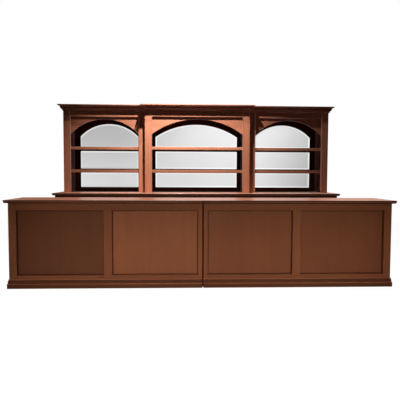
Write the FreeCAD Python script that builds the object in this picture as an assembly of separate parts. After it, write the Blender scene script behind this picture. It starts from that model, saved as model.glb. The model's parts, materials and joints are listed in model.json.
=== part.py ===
import FreeCAD, Part
import math
import os

from FreeCAD import Vector

# Bar counter with a shelved back bar, in millimetres.
#
# Two pieces of furniture stand one behind the other.  The front bar is a long
# counter in two modules.  The back bar is a cupboard base in two modules that
# carries three shelved hutches with mirrored backs, the centre one standing
# proud of its neighbours.
#
# X runs along the bar, the customer's side faces -Y and Z is up.  The origin is
# on the floor, in the middle of the whole arrangement.  Modules are drawn for
# the right-hand side and mirrored for the left.

# ---------------------------------------------------------------- sizes
# Front bar
BAR_LENGTH = 4880.0
BAR_HEIGHT = 1100.0
BAR_TOP_DEPTH = 680.0
BAR_FRONT_OVERHANG = 50.0
BAR_REAR_OVERHANG = 30.0
BAR_END_STILE = 75.0
BAR_MID_STILE = 102.0
BAR_SEAM_STILE = 62.0
BAR_TOP_RAIL = 91.0
BAR_BOTTOM_RAIL = 161.0
BAR_FLOOR_HEIGHT = 120.0
BAR_SHELF_HEIGHT = 560.0
BAR_FRAME_THICKNESS = 40.0
BAR_TOE_SETBACK = 52.0

# Back bar base
AISLE = 1320.0
BASE_LENGTH = 4880.0
BASE_HEIGHT = 1100.0
BASE_TOP_DEPTH = 920.0
BASE_FRONT_OVERHANG = 40.0
BASE_END_STILE = 40.0
BASE_MID_STILE = 100.0
BASE_SEAM_STILE = 60.0
BASE_TOP_RAIL = 85.0
BASE_BOTTOM_RAIL = 150.0
BASE_SHELF_HEIGHT = 560.0
BASE_SHELF_SETBACK = 15.0
BASE_FRAME_THICKNESS = 22.0

# Tops, frames and boards shared by the front bar and the base
END_OVERHANG = 40.0
TOP_THICKNESS = 38.0
NOSING_WIDTH = 30.0
PANEL_THICKNESS = 20.0
END_REBATE = 3.0
SEAM_GAP = 5.0
SEAM_CHAMFER = 3.0
FLUSH_PANEL_THICKNESS = 9.0
PANEL_LAP = 15.0
SHELF_THICKNESS = 25.0
SHELF_PLAY = 1.0
BEARER_HEIGHT = 25.0
BEARER_WIDTH = 18.0
BACK_RAIL_HEIGHT = 60.0
BACK_RAIL_THICKNESS = 20.0
SKIRTING_HEIGHT = 60.0
SKIRTING_PROUD = 20.0
CAP_HEIGHT = 51.0
CAP_PROUD = 12.0

# Sliding cupboard doors
DOOR_THICKNESS = 20.0
DOOR_RUNNING_GAP = 4.0
DOOR_END_GAP = 1.0
DOOR_STILE = 75.0
DOOR_TOP_RAIL = 75.0
DOOR_BOTTOM_RAIL = 90.0
DOOR_PANEL_THICKNESS = 8.0
DOOR_PANEL_RECESS = 6.0
PANEL_TONGUE = 8.0
RUNNER_WIDTH = 8.0
RUNNER_PLAY = 0.5
TRACK_DEPTH = 6.0
GUIDE_THICKNESS = 25.0
GUIDE_DEPTH = 15.0
GUIDE_BITE = 8.0
DOOR_FOOT_GAP = 2.0
PULL_WIDTH = 34.0
PULL_HEIGHT = 110.0
PULL_DEPTH = 11.0
PULL_WALL = 1.5
PULL_LIP = 3.0
PULL_PROUD = 1.0
PULL_CENTRE_HEIGHT = 640.0

# Hutches
HUTCH_HEIGHT = 1520.0
HUTCH_LENGTH = 4660.0
HUTCH_DEPTH = 565.0
CENTRE_LENGTH = 1820.0
CENTRE_PROUD = 100.0
HUTCH_STILE = 100.0
HUTCH_RAIL = 200.0
HUTCH_FRAME_THICKNESS = 25.0
BEAD_RADIUS = 5.0
QUIRK_WIDTH = 2.0
PILASTER_WIDTH = 70.0
LINING_THICKNESS = 18.0
PACKING_HEIGHT = 60.0
CROWN_HEIGHT = 100.0
CROWN_PROUD = 80.0
VALANCE_THICKNESS = 20.0
ARCH_SPRING = 1020.0
ARCH_RISE = 260.0
LOWER_SHELF_TOP = 400.0
UPPER_SHELF_TOP = 800.0
HUTCH_SHELF_EDGE = 50.0
HUTCH_SHELF_THICKNESS = 25.0
SHELF_LIPPING = 25.0
HOUSING_DEPTH = 6.0

# Mirrors in the hutch backs
BACK_THICKNESS = 12.0
MIRROR_THICKNESS = 6.0
MIRROR_EDGE_THICKNESS = 3.0
MIRROR_BEVEL = 25.0
MIRROR_LAP = 10.0
MIRROR_FRAME_THICKNESS = 20.0
MIRROR_BOTTOM_RAIL = 80.0
MIRROR_RAIL_RISE = 25.0
SIDE_MIRROR_MARGIN = 55.0
CENTRE_MIRROR_MARGIN = 25.0
MIRROR_SPRING = 1020.0
MIRROR_RISE = 232.0

# ---------------------------------------------------------------- places
TOTAL_DEPTH = BAR_TOP_DEPTH + AISLE + BASE_TOP_DEPTH
BAR_TOP_FRONT = -TOTAL_DEPTH / 2
BAR_TOP_REAR = BAR_TOP_FRONT + BAR_TOP_DEPTH
BAR_FACE = BAR_TOP_FRONT + BAR_FRONT_OVERHANG
BAR_REAR = BAR_TOP_REAR - BAR_REAR_OVERHANG
BASE_TOP_FRONT = BAR_TOP_REAR + AISLE
BASE_REAR = BASE_TOP_FRONT + BASE_TOP_DEPTH
BASE_FACE = BASE_TOP_FRONT + BASE_FRONT_OVERHANG
HUTCH_FOOT = BASE_HEIGHT
HUTCH_TOP = HUTCH_FOOT + HUTCH_HEIGHT
HUTCH_ROOF = HUTCH_TOP - PANEL_THICKNESS
SIDE_FACE = BASE_REAR - HUTCH_DEPTH
CENTRE_FACE = SIDE_FACE - CENTRE_PROUD
MIRROR_REAR = BASE_REAR - BACK_THICKNESS
MIRROR_PLANE = MIRROR_REAR - MIRROR_THICKNESS
MIRROR_FRAME_FACE = MIRROR_PLANE - MIRROR_FRAME_THICKNESS
HALF_CENTRE = CENTRE_LENGTH / 2
HALF_HUTCH = HUTCH_LENGTH / 2

UP = Vector(0, 0, 1)


# ---------------------------------------------------------------- tools
def board(x0, x1, y0, y1, z0, z1):
    """A straight board between two opposite corners."""
    return Part.makeBox(x1 - x0, y1 - y0, z1 - z0, Vector(x0, y0, z0))


def handed(solids, side):
    """The solids as drawn for the right-hand side, or mirrored for the left."""
    if side == "right":
        return solids
    return [solid.mirror(Vector(0, 0, 0), Vector(1, 0, 0)) for solid in solids]


def section(steps, to_space):
    """A flat face whose outline follows steps.

    The first step is the starting point.  Each later one is an end point for a
    straight edge, or a point passed through and an end point for an arc.
    """
    start = to_space(*steps[0][0])
    here = start
    edges = []
    for step in steps[1:]:
        end = to_space(*step[-1])
        if len(step) == 1:
            edges.append(Part.makeLine(here, end))
        else:
            edges.append(Part.Arc(here, to_space(*step[0]), end).toShape())
        here = end
    edges.append(Part.makeLine(here, start))
    return Part.Face(Part.Wire(edges))


def moulding_run(profile, start, end, foot_height, start_mitre, end_mitre):
    """One straight length of moulding, standing out to the right of start-to-end.

    A mitre of 1 is cut for an outside corner, -1 for an inside corner and 0
    leaves the end square.
    """
    along = (end - start).normalize()
    outward = along.cross(UP)
    reach = max(step[-1][0] for step in profile)
    length = (end - start).Length
    spare = reach * 2
    lift = Vector(0, 0, foot_height)
    first = start - along * spare + lift
    face = section(profile, lambda out, up: first + outward * out + UP * up)
    bar = face.extrude(along * (length + spare * 2))
    corners = [
        start,
        end,
        end + outward * reach + along * (reach * end_mitre),
        start + outward * reach - along * (reach * start_mitre),
    ]
    plan = Part.Face(Part.makePolygon(corners + [start]))
    height = max(step[-1][1] for step in profile)
    plan.translate(lift)
    return bar.common(plan.extrude(UP * height)).Solids[0]


def mouldings(profile, path, foot_height, start_mitre=0, end_mitre=0):
    """Mitred lengths of moulding that follow a path of plan points."""
    points = [Vector(x, y, 0) for x, y in path]
    mitres = [start_mitre]
    for before, corner, after in zip(points, points[1:], points[2:]):
        turn = (corner - before).cross(after - corner)
        mitres.append(1 if turn.z > 0 else -1)
    mitres.append(end_mitre)
    runs = []
    for index in range(len(points) - 1):
        run = moulding_run(
            profile, points[index], points[index + 1], foot_height, mitres[index], mitres[index + 1]
        )
        runs.append(run)
    return runs


def export(name, solids):
    """Write one sub-part, made of one or more separate solids."""
    for solid in solids:
        if not solid.isValid() or solid.Volume <= 0:
            raise ValueError("bad solid in " + name)
    shape = solids[0] if len(solids) == 1 else Part.makeCompound(solids)
    shape.exportStep("parts/" + name + ".step")


# ---------------------------------------------------------------- profiles
def nosing_profile():
    """Top edge: a rounded fillet over a quirk and an ovolo."""
    w = NOSING_WIDTH
    t = TOP_THICKNESS
    quirk = t * 0.6
    return [
        [(0, 0)],
        [(w * 0.4, 0)],
        [(w * 0.76, quirk * 0.3), (w * 0.9, quirk)],
        [(w, quirk + t * 0.05)],
        [(w, t * 0.92)],
        [(w * 0.97, t * 0.98), (w * 0.9, t)],
        [(0, t)],
    ]


def skirting_profile():
    """Plinth board with a rounded upper edge."""
    p = SKIRTING_PROUD
    h = SKIRTING_HEIGHT
    return [
        [(0, 0)],
        [(p, 0)],
        [(p, h * 0.9)],
        [(p * 0.96, h * 0.97), (p * 0.85, h)],
        [(0, h)],
    ]


def cap_profile():
    """Base moulding on the plinth: a flat below an ogee and a top fillet."""
    p = CAP_PROUD
    h = CAP_HEIGHT
    return [
        [(0, 0)],
        [(p, 0)],
        [(p, h * 0.5)],
        [(p * 0.93, h * 0.62), (p * 0.74, h * 0.7)],
        [(p * 0.52, h * 0.76), (p * 0.46, h * 0.9)],
        [(p * 0.6, h * 0.92)],
        [(p * 0.6, h)],
        [(0, h)],
    ]


def crown_profile():
    """Crown: bead and fillet at the foot, a cyma recta, and a top fillet."""
    p = CROWN_PROUD
    h = CROWN_HEIGHT
    return [
        [(0, 0)],
        [(p * 0.08, 0)],
        [(p * 0.18, h * 0.06), (p * 0.08, h * 0.12)],
        [(p * 0.16, h * 0.14)],
        [(p * 0.16, h * 0.2)],
        [(p * 0.38, h * 0.3), (p * 0.5, h * 0.5)],
        [(p * 0.62, h * 0.7), (p * 0.86, h * 0.8)],
        [(p * 0.86, h * 0.85)],
        [(p, h * 0.87)],
        [(p, h)],
        [(0, h)],
    ]


# ---------------------------------------------------------------- front bar and base
def module_top(length, front, rear, height, rear_nosing):
    """Core board with mitred nosings on its exposed edges."""
    w = NOSING_WIDTH
    z0 = height - TOP_THICKNESS
    end = length / 2 - w
    back = rear - w if rear_nosing else rear
    path = [(SEAM_GAP, front + w), (end, front + w), (end, back)]
    if rear_nosing:
        path.append((SEAM_GAP, back))
    core = board(0, end, front + w, back, z0, height)
    return [core] + mouldings(nosing_profile(), path, z0)


def module_plinth(length, face, rear):
    """Skirting and base moulding, mitred round the front and the outer end."""
    end = length / 2 - END_OVERHANG
    path = [(SEAM_GAP, face), (end, face), (end, rear)]
    skirting = mouldings(skirting_profile(), path, 0)
    cap = mouldings(cap_profile(), path, SKIRTING_HEIGHT)
    return skirting + cap


def seam_stile(edge, face, back, height):
    """Stile beside the shadow gap between two modules, its outer arris chamfered."""
    g = SEAM_GAP
    c = SEAM_CHAMFER
    plan = [(g + c, face), (edge, face), (edge, back), (g, back), (g, face + c), (g + c, face)]
    outline = Part.Face(Part.makePolygon([Vector(x, y, 0) for x, y in plan]))
    return outline.extrude(UP * height)


def bay_edges(length, end_stile, mid_stile, seam_width):
    """Left and right edges of a module's two openings between its stiles."""
    inner_end = length / 2 - END_OVERHANG - PANEL_THICKNESS - end_stile
    bay = (inner_end - seam_width - mid_stile) / 2
    first = (seam_width, seam_width + bay)
    second = (first[1] + mid_stile, inner_end)
    return first, second


def face_frame(length, face, back, height, bays, bottom_rail, top_rail):
    """Stiles and rails of a module's face, jointed as a cabinet maker would."""
    (a0, a1), (b0, b1) = bays
    end = length / 2 - END_OVERHANG - PANEL_THICKNESS
    return [
        seam_stile(a0, face, back, height),
        board(b1, end, face, back, 0, height),
        board(a0, b1, face, back, height - top_rail, height),
        board(a0, b1, face, back, 0, bottom_rail),
        board(a1, b0, face, back, bottom_rail, height - top_rail),
    ]


def uprights(length, face, behind, rear, inner_rear, height, bays):
    """End panel, seam panel and the divider behind the middle stile."""
    (_, a1), (b0, _) = bays
    t = PANEL_THICKNESS
    end = length / 2 - END_OVERHANG
    middle = (a1 + b0) / 2
    return [
        board(end - t, end, face + END_REBATE, rear, 0, height),
        board(0, t, behind, inner_rear, 0, height),
        board(middle - t / 2, middle + t / 2, behind, inner_rear, 0, height),
    ]


def cells(length, bays):
    """Clear widths between the uprights of a module."""
    (_, a1), (b0, _) = bays
    t = PANEL_THICKNESS
    middle = (a1 + b0) / 2
    end = length / 2 - END_OVERHANG
    return (t, middle - t / 2), (middle + t / 2, end - t)


def shelf_bearers(x0, x1, y0, y1, shelf_height):
    """Battens on both sides of a cell that carry a loose shelf."""
    z0 = shelf_height - BEARER_HEIGHT
    return [
        board(x0, x0 + BEARER_WIDTH, y0, y1, z0, shelf_height),
        board(x1 - BEARER_WIDTH, x1, y0, y1, z0, shelf_height),
    ]


def bar_module():
    """All the sub-parts of one front bar module."""
    height = BAR_HEIGHT - TOP_THICKNESS
    bays = bay_edges(BAR_LENGTH, BAR_END_STILE, BAR_MID_STILE, BAR_SEAM_STILE)
    behind = BAR_FACE + BAR_FRAME_THICKNESS
    panel_back = behind + FLUSH_PANEL_THICKNESS
    lap = PANEL_LAP
    panels = []
    for x0, x1 in bays:
        z1 = height - BAR_TOP_RAIL + lap
        panels.append(board(x0 - lap, x1 + lap, behind, panel_back, BAR_BOTTOM_RAIL - lap, z1))
    carcass = uprights(BAR_LENGTH, BAR_FACE, behind, BAR_REAR, BAR_REAR, height, bays)
    shelves = []
    floor_under = BAR_FLOOR_HEIGHT - PANEL_THICKNESS
    toe_rear = BAR_REAR - BAR_TOE_SETBACK
    rail_front = BAR_REAR - BACK_RAIL_THICKNESS
    for x0, x1 in cells(BAR_LENGTH, bays):
        carcass.append(board(x0, x1, behind, BAR_REAR, floor_under, BAR_FLOOR_HEIGHT))
        carcass.append(board(x0, x1, toe_rear - BACK_RAIL_THICKNESS, toe_rear, 0, floor_under))
        carcass.append(board(x0, x1, rail_front, BAR_REAR, height - BACK_RAIL_HEIGHT, height))
        carcass += shelf_bearers(x0, x1, panel_back, rail_front, BAR_SHELF_HEIGHT)
        shelf_top = BAR_SHELF_HEIGHT + SHELF_THICKNESS
        play = SHELF_PLAY
        shelves.append(board(x0 + play, x1 - play, panel_back, rail_front, BAR_SHELF_HEIGHT, shelf_top))
    return {
        "top": module_top(BAR_LENGTH, BAR_TOP_FRONT, BAR_TOP_REAR, BAR_HEIGHT, True),
        "face_frame": face_frame(
            BAR_LENGTH, BAR_FACE, behind, height, bays, BAR_BOTTOM_RAIL, BAR_TOP_RAIL
        ),
        "face_panels": panels,
        "carcass": carcass,
        "plinth": module_plinth(BAR_LENGTH, BAR_FACE, BAR_REAR),
        "shelves": shelves,
    }


def track_centres():
    """Depths of the front and rear tracks that the cupboard doors run in."""
    front = BASE_FACE + BASE_FRAME_THICKNESS + DOOR_RUNNING_GAP / 2 + DOOR_THICKNESS / 2
    return front, front + DOOR_THICKNESS + DOOR_RUNNING_GAP


def track_grooves(x0, x1, z0, z1):
    """Material taken out along a cell for the two tracks."""
    half = RUNNER_WIDTH / 2 + RUNNER_PLAY
    return [board(x0, x1, y - half, y + half, z0, z1) for y in track_centres()]


def base_module():
    """The fixed sub-parts of one back bar base module."""
    height = BASE_HEIGHT - TOP_THICKNESS
    bays = bay_edges(BASE_LENGTH, BASE_END_STILE, BASE_MID_STILE, BASE_SEAM_STILE)
    behind = BASE_FACE + BASE_FRAME_THICKNESS
    inner_rear = BASE_REAR - FLUSH_PANEL_THICKNESS
    rail_front = inner_rear - BACK_RAIL_THICKNESS
    carcass = uprights(BASE_LENGTH, BASE_FACE, behind, BASE_REAR, inner_rear, height, bays)
    shelves = []
    guides = []
    floor_top = BASE_BOTTOM_RAIL
    floor_under = floor_top - PANEL_THICKNESS
    guide_under = height - GUIDE_THICKNESS
    guide_back = track_centres()[1] + DOOR_THICKNESS / 2 + DOOR_RUNNING_GAP / 2
    shelf_front = guide_back + BASE_SHELF_SETBACK
    shelf_top = BASE_SHELF_HEIGHT + SHELF_THICKNESS
    play = SHELF_PLAY
    for x0, x1 in cells(BASE_LENGTH, bays):
        floor = board(x0, x1, behind, inner_rear, floor_under, floor_top)
        for groove in track_grooves(x0, x1, floor_top - TRACK_DEPTH, floor_top):
            floor = floor.cut(groove)
        guide = board(x0, x1, behind, guide_back, guide_under, height)
        for groove in track_grooves(x0, x1, guide_under, guide_under + GUIDE_DEPTH):
            guide = guide.cut(groove)
        carcass.append(floor.Solids[0])
        guides.append(guide.Solids[0])
        carcass.append(board(x0, x1, rail_front, inner_rear, 0, floor_under))
        carcass.append(board(x0, x1, rail_front, inner_rear, height - BACK_RAIL_HEIGHT, height))
        carcass += shelf_bearers(x0, x1, shelf_front, rail_front, BASE_SHELF_HEIGHT)
        shelves.append(board(x0 + play, x1 - play, shelf_front, rail_front, BASE_SHELF_HEIGHT, shelf_top))
    end = BASE_LENGTH / 2 - END_OVERHANG - PANEL_THICKNESS
    return {
        "top": module_top(BASE_LENGTH, BASE_TOP_FRONT, BASE_REAR, BASE_HEIGHT, False),
        "face_frame": face_frame(
            BASE_LENGTH, BASE_FACE, behind, height, bays, BASE_BOTTOM_RAIL, BASE_TOP_RAIL
        ),
        "carcass": carcass,
        "back_panels": [board(0, end, inner_rear, BASE_REAR, 0, height)],
        "plinth": module_plinth(BASE_LENGTH, BASE_FACE, BASE_REAR),
        "shelves": shelves,
        "door_guides": guides,
    }


# ---------------------------------------------------------------- sliding doors
def flush_pull(x, y, z):
    """Let-in finger pull: an open tray behind a thin lip."""
    half = PULL_WIDTH / 2
    tall = PULL_HEIGHT / 2
    wall = PULL_WALL
    lip = PULL_LIP
    tray = board(x - half, x + half, y, y + PULL_DEPTH, z - tall, z + tall)
    hollow_y = y - PULL_PROUD, y + PULL_DEPTH - wall
    hollow = board(x - half + wall, x + half - wall, *hollow_y, z - tall + wall, z + tall - wall)
    plate_y = y - PULL_PROUD, y
    plate = board(x - half - lip, x + half + lip, *plate_y, z - tall - lip, z + tall + lip)
    return tray.fuse(plate).cut(hollow).removeSplitter().Solids[0]


def pull_mortise(x, y, z):
    """Pocket in the stile that a flush pull sits in."""
    half = PULL_WIDTH / 2
    tall = PULL_HEIGHT / 2
    return board(x - half, x + half, y, y + PULL_DEPTH, z - tall, z + tall)


def sliding_door(x0, x1, wall_side, lap, track):
    """Framed door with a flush panel, its runners and its pull.

    wall_side is -1 where the door closes against the cell's left wall and 1 for
    the right.  The stile on that side and the top rail are wider by their lap
    behind the face frame.
    """
    y0 = track - DOOR_THICKNESS / 2
    y1 = track + DOOR_THICKNESS / 2
    z0 = BASE_BOTTOM_RAIL + DOOR_FOOT_GAP
    z1 = BASE_HEIGHT - TOP_THICKNESS - GUIDE_THICKNESS - DOOR_FOOT_GAP
    wide = DOOR_STILE + lap
    left = x0 + (wide if wall_side < 0 else DOOR_STILE)
    right = x1 - (wide if wall_side > 0 else DOOR_STILE)
    low = z0 + DOOR_BOTTOM_RAIL
    high = BASE_HEIGHT - TOP_THICKNESS - BASE_TOP_RAIL - DOOR_TOP_RAIL
    g = PANEL_TONGUE
    panel_face = y0 + DOOR_PANEL_RECESS
    panel_back = panel_face + DOOR_PANEL_THICKNESS
    panel = board(left - g, right + g, panel_face, panel_back, low - g, high + g)
    frame = [
        board(x0, left, y0, y1, z0, z1),
        board(right, x1, y0, y1, z0, z1),
        board(left, right, y0, y1, z0, low),
        board(left, right, y0, y1, high, z1),
    ]
    pull_x = left - DOOR_STILE / 2 if wall_side < 0 else right + DOOR_STILE / 2
    mortise = pull_mortise(pull_x, y0, PULL_CENTRE_HEIGHT)
    frame = [piece.cut(panel).cut(mortise).Solids[0] for piece in frame]
    half = RUNNER_WIDTH / 2
    track_bottom = BASE_BOTTOM_RAIL - TRACK_DEPTH
    tongue_top = z1 + DOOR_FOOT_GAP + GUIDE_BITE
    runners = [
        board(x0, x1, track - half, track + half, track_bottom, z0),
        board(x0, x1, track - half, track + half, z1, tongue_top),
    ]
    leaf = frame + [panel] + runners
    return {"leaf": leaf, "pull": [flush_pull(pull_x, y0, PULL_CENTRE_HEIGHT)]}


def cupboard_doors():
    """Doors of the right-hand module, from the seam outwards."""
    bays = bay_edges(BASE_LENGTH, BASE_END_STILE, BASE_MID_STILE, BASE_SEAM_STILE)
    front, rear = track_centres()
    doors = []
    for (cell0, cell1), (open0, open1) in zip(cells(BASE_LENGTH, bays), bays):
        x0 = cell0 + DOOR_END_GAP
        x1 = cell1 - DOOR_END_GAP
        width = (x1 - x0 + DOOR_STILE) / 2
        doors.append(sliding_door(x0, x0 + width, -1, open0 - x0, front))
        doors.append(sliding_door(x1 - width, x1, 1, x1 - open1, rear))
    return doors


# ---------------------------------------------------------------- hutches
def beaded_stile(outer, inner, face, z0, z1):
    """Face frame stile with a quirked bead along its inner arris."""
    s = 1 if inner > outer else -1
    r = BEAD_RADIUS
    back = face + HUTCH_FRAME_THICKNESS
    corner = r * (1 - math.sqrt(0.5))
    bead_end = inner - s * 2 * r
    quirk_end = bead_end - s * QUIRK_WIDTH
    steps = [
        [(outer, back)],
        [(inner, back)],
        [(inner, face + r)],
        [(inner - s * corner, face + corner), (inner - s * r, face)],
        [(bead_end + s * corner, face + corner), (bead_end, face + r)],
        [(quirk_end, face + r)],
        [(quirk_end, face)],
        [(outer, face)],
    ]
    return section(steps, lambda x, y: Vector(x, y, z0)).extrude(UP * (z1 - z0))


def arched_board(x0, x1, y0, y1, z0, z1, half_span, rise):
    """Board with a segmental arch cut up into its lower edge."""
    radius = (half_span**2 + rise**2) / (2 * rise)
    centre = Vector((x0 + x1) / 2, y0, z0 + rise - radius)
    arch = Part.makeCylinder(radius, y1 - y0, centre, Vector(0, 1, 0))
    return board(x0, x1, y0, y1, z0, z1).cut(arch).Solids[0]


def mirror_pane(centre, half, z0, z1, arch_radius=None):
    """Bevelled mirror pane, square or with an arched head that rises to z1."""
    y = MIRROR_REAR
    shoulder = z1
    if arch_radius is not None:
        shoulder = z1 - arch_radius + math.sqrt(arch_radius**2 - half**2)
    foot_left = Vector(centre - half, y, z0)
    foot_right = Vector(centre + half, y, z0)
    top_right = Vector(centre + half, y, shoulder)
    top_left = Vector(centre - half, y, shoulder)
    if arch_radius is None:
        head = Part.makeLine(top_right, top_left)
    else:
        head = Part.Arc(top_right, Vector(centre, y, z1), top_left).toShape()
    sides = [
        Part.makeLine(foot_left, foot_right),
        Part.makeLine(foot_right, top_right),
        head,
        Part.makeLine(top_left, foot_left),
    ]
    slab = Part.Face(Part.Wire(sides)).extrude(Vector(0, -MIRROR_THICKNESS, 0))
    rim = [edge for edge in slab.Edges if edge.BoundBox.YMax < MIRROR_PLANE + MIRROR_EDGE_THICKNESS / 2]
    depth = MIRROR_THICKNESS - MIRROR_EDGE_THICKNESS
    return slab.makeChamfer(depth, MIRROR_BEVEL + MIRROR_LAP, rim).Solids[0]


def hutch_unit(x0, x1, face, margin):
    """All the sub-parts of one hutch except its crown."""
    t = PANEL_THICKNESS
    foot = HUTCH_FOOT
    inner_face = face + HUTCH_FRAME_THICKNESS
    open0 = x0 + t + HUTCH_STILE
    open1 = x1 - t - HUTCH_STILE
    wall0 = x0 + PILASTER_WIDTH
    wall1 = x1 - PILASTER_WIDTH
    centre = (x0 + x1) / 2
    shelf_tops = [foot + LOWER_SHELF_TOP, foot + UPPER_SHELF_TOP]

    rail_foot = HUTCH_TOP - HUTCH_RAIL
    frame = [
        beaded_stile(x0 + t, open0, face, foot, HUTCH_TOP),
        beaded_stile(x1 - t, open1, face, foot, HUTCH_TOP),
        board(open0, open1, face, inner_face, rail_foot, HUTCH_TOP),
    ]

    boards = []
    shelves = []
    board_front = inner_face + SHELF_LIPPING
    for top in shelf_tops:
        z0 = top - HUTCH_SHELF_THICKNESS
        h = HOUSING_DEPTH
        boards.append(board(wall0 - h, wall1 + h, board_front, MIRROR_FRAME_FACE, z0, top))
        lipping = board(wall0, wall1, inner_face, board_front, top - HUTCH_SHELF_EDGE, top)
        shelves += [boards[-1], lipping]

    linings = [
        board(wall0 - LINING_THICKNESS, wall0, inner_face, MIRROR_REAR, foot, HUTCH_ROOF),
        board(wall1, wall1 + LINING_THICKNESS, inner_face, MIRROR_REAR, foot, HUTCH_ROOF),
    ]
    for housed in boards:
        linings = [lining.cut(housed) for lining in linings]
    carcass = [
        board(x0, x0 + t, face + END_REBATE, BASE_REAR, foot, HUTCH_TOP),
        board(x1 - t, x1, face + END_REBATE, BASE_REAR, foot, HUTCH_TOP),
        board(x0 + t, x1 - t, inner_face, BASE_REAR, HUTCH_ROOF, HUTCH_TOP),
        board(x0 + t, x1 - t, MIRROR_REAR, BASE_REAR, foot, HUTCH_ROOF),
    ] + [lining.Solids[0] for lining in linings]
    middle = (foot + HUTCH_ROOF - PACKING_HEIGHT) / 2
    for z0 in (foot, middle, HUTCH_ROOF - PACKING_HEIGHT):
        z1 = z0 + PACKING_HEIGHT
        carcass.append(board(x0 + t, wall0 - LINING_THICKNESS, inner_face, MIRROR_REAR, z0, z1))
        carcass.append(board(wall1 + LINING_THICKNESS, x1 - t, inner_face, MIRROR_REAR, z0, z1))

    valance = arched_board(
        wall0,
        wall1,
        inner_face,
        inner_face + VALANCE_THICKNESS,
        foot + ARCH_SPRING,
        HUTCH_ROOF,
        (open1 - open0) / 2,
        ARCH_RISE,
    )

    sight0 = open0 + margin
    sight1 = open1 - margin
    half_sight = (sight1 - sight0) / 2
    spring = foot + MIRROR_SPRING
    rail_tops = [top + MIRROR_RAIL_RISE for top in shelf_tops]
    rail_feet = [top - HUTCH_SHELF_EDGE for top in shelf_tops]
    plane = MIRROR_FRAME_FACE, MIRROR_PLANE
    back_frame = [
        board(wall0, sight0, *plane, foot, spring),
        board(sight1, wall1, *plane, foot, spring),
        board(sight0, sight1, *plane, foot, foot + MIRROR_BOTTOM_RAIL),
        arched_board(wall0, wall1, *plane, spring, HUTCH_ROOF, half_sight, MIRROR_RISE),
    ]
    for rail_foot, rail_top in zip(rail_feet, rail_tops):
        back_frame.append(board(sight0, sight1, *plane, rail_foot, rail_top))

    lap = MIRROR_LAP
    arch_radius = (half_sight**2 + MIRROR_RISE**2) / (2 * MIRROR_RISE) + lap
    half_pane = half_sight + lap
    mirrors = [
        mirror_pane(centre, half_pane, foot + MIRROR_BOTTOM_RAIL - lap, rail_feet[0] + lap),
        mirror_pane(centre, half_pane, rail_tops[0] - lap, rail_feet[1] + lap),
        mirror_pane(centre, half_pane, rail_tops[1] - lap, spring + MIRROR_RISE + lap, arch_radius),
    ]
    return {
        "face_frame": frame,
        "carcass": carcass,
        "shelves": shelves,
        "valance": [valance],
        "mirror_frame": back_frame,
        "mirrors": mirrors,
    }


def crowns():
    """Crown mouldings, mitred at outside and inside corners."""
    z0 = HUTCH_TOP - CROWN_HEIGHT
    profile = crown_profile()
    c = HALF_CENTRE
    centre_path = [(-c, SIDE_FACE), (-c, CENTRE_FACE), (c, CENTRE_FACE), (c, SIDE_FACE)]
    side_path = [(c, SIDE_FACE), (HALF_HUTCH, SIDE_FACE), (HALF_HUTCH, BASE_REAR)]
    side = mouldings(profile, side_path, z0, start_mitre=-1)
    return {
        "left": handed(side, "left"),
        "centre": mouldings(profile, centre_path, z0, start_mitre=-1, end_mitre=-1),
        "right": side,
    }


# ---------------------------------------------------------------- assembly
bar = bar_module()
base = base_module()
bar_shelves = []
base_shelves = []
base_backs = []
door_guides = []
doors = cupboard_doors()
for side in ("left", "right"):
    for name in ("top", "face_frame", "face_panels", "carcass", "plinth"):
        export("bar_" + name + "_" + side, handed(bar[name], side))
    for name in ("top", "face_frame", "carcass", "plinth"):
        export("base_" + name + "_" + side, handed(base[name], side))
    bar_shelves += handed(bar["shelves"], side)
    base_shelves += handed(base["shelves"], side)
    base_backs += handed(base["back_panels"], side)
    door_guides += handed(base["door_guides"], side)
    for number, door in enumerate(doors, 1):
        label = side + "_" + str(number)
        export("door_" + label, handed(door["leaf"], side))
        export("door_pull_" + label, handed(door["pull"], side))
export("bar_shelves", bar_shelves)
export("base_shelves", base_shelves)
export("base_back_panels", base_backs)
export("door_guides", door_guides)

crown_runs = crowns()
units = {
    "left": (-HALF_HUTCH, -HALF_CENTRE, SIDE_FACE, SIDE_MIRROR_MARGIN),
    "centre": (-HALF_CENTRE, HALF_CENTRE, CENTRE_FACE, CENTRE_MIRROR_MARGIN),
    "right": (HALF_CENTRE, HALF_HUTCH, SIDE_FACE, SIDE_MIRROR_MARGIN),
}
for unit, place in units.items():
    for name, solids in hutch_unit(*place).items():
        export("hutch_" + unit + "_" + name, solids)
    export("hutch_" + unit + "_crown", crown_runs[unit])
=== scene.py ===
import json
import math
import random
from itertools import product
from types import SimpleNamespace

import bmesh
import bpy
from bpy.props import FloatProperty, FloatVectorProperty, IntProperty, PointerProperty
from bpy.types import NodeSocket, Operator, Panel, PropertyGroup
from mathutils import Matrix, Vector

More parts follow.
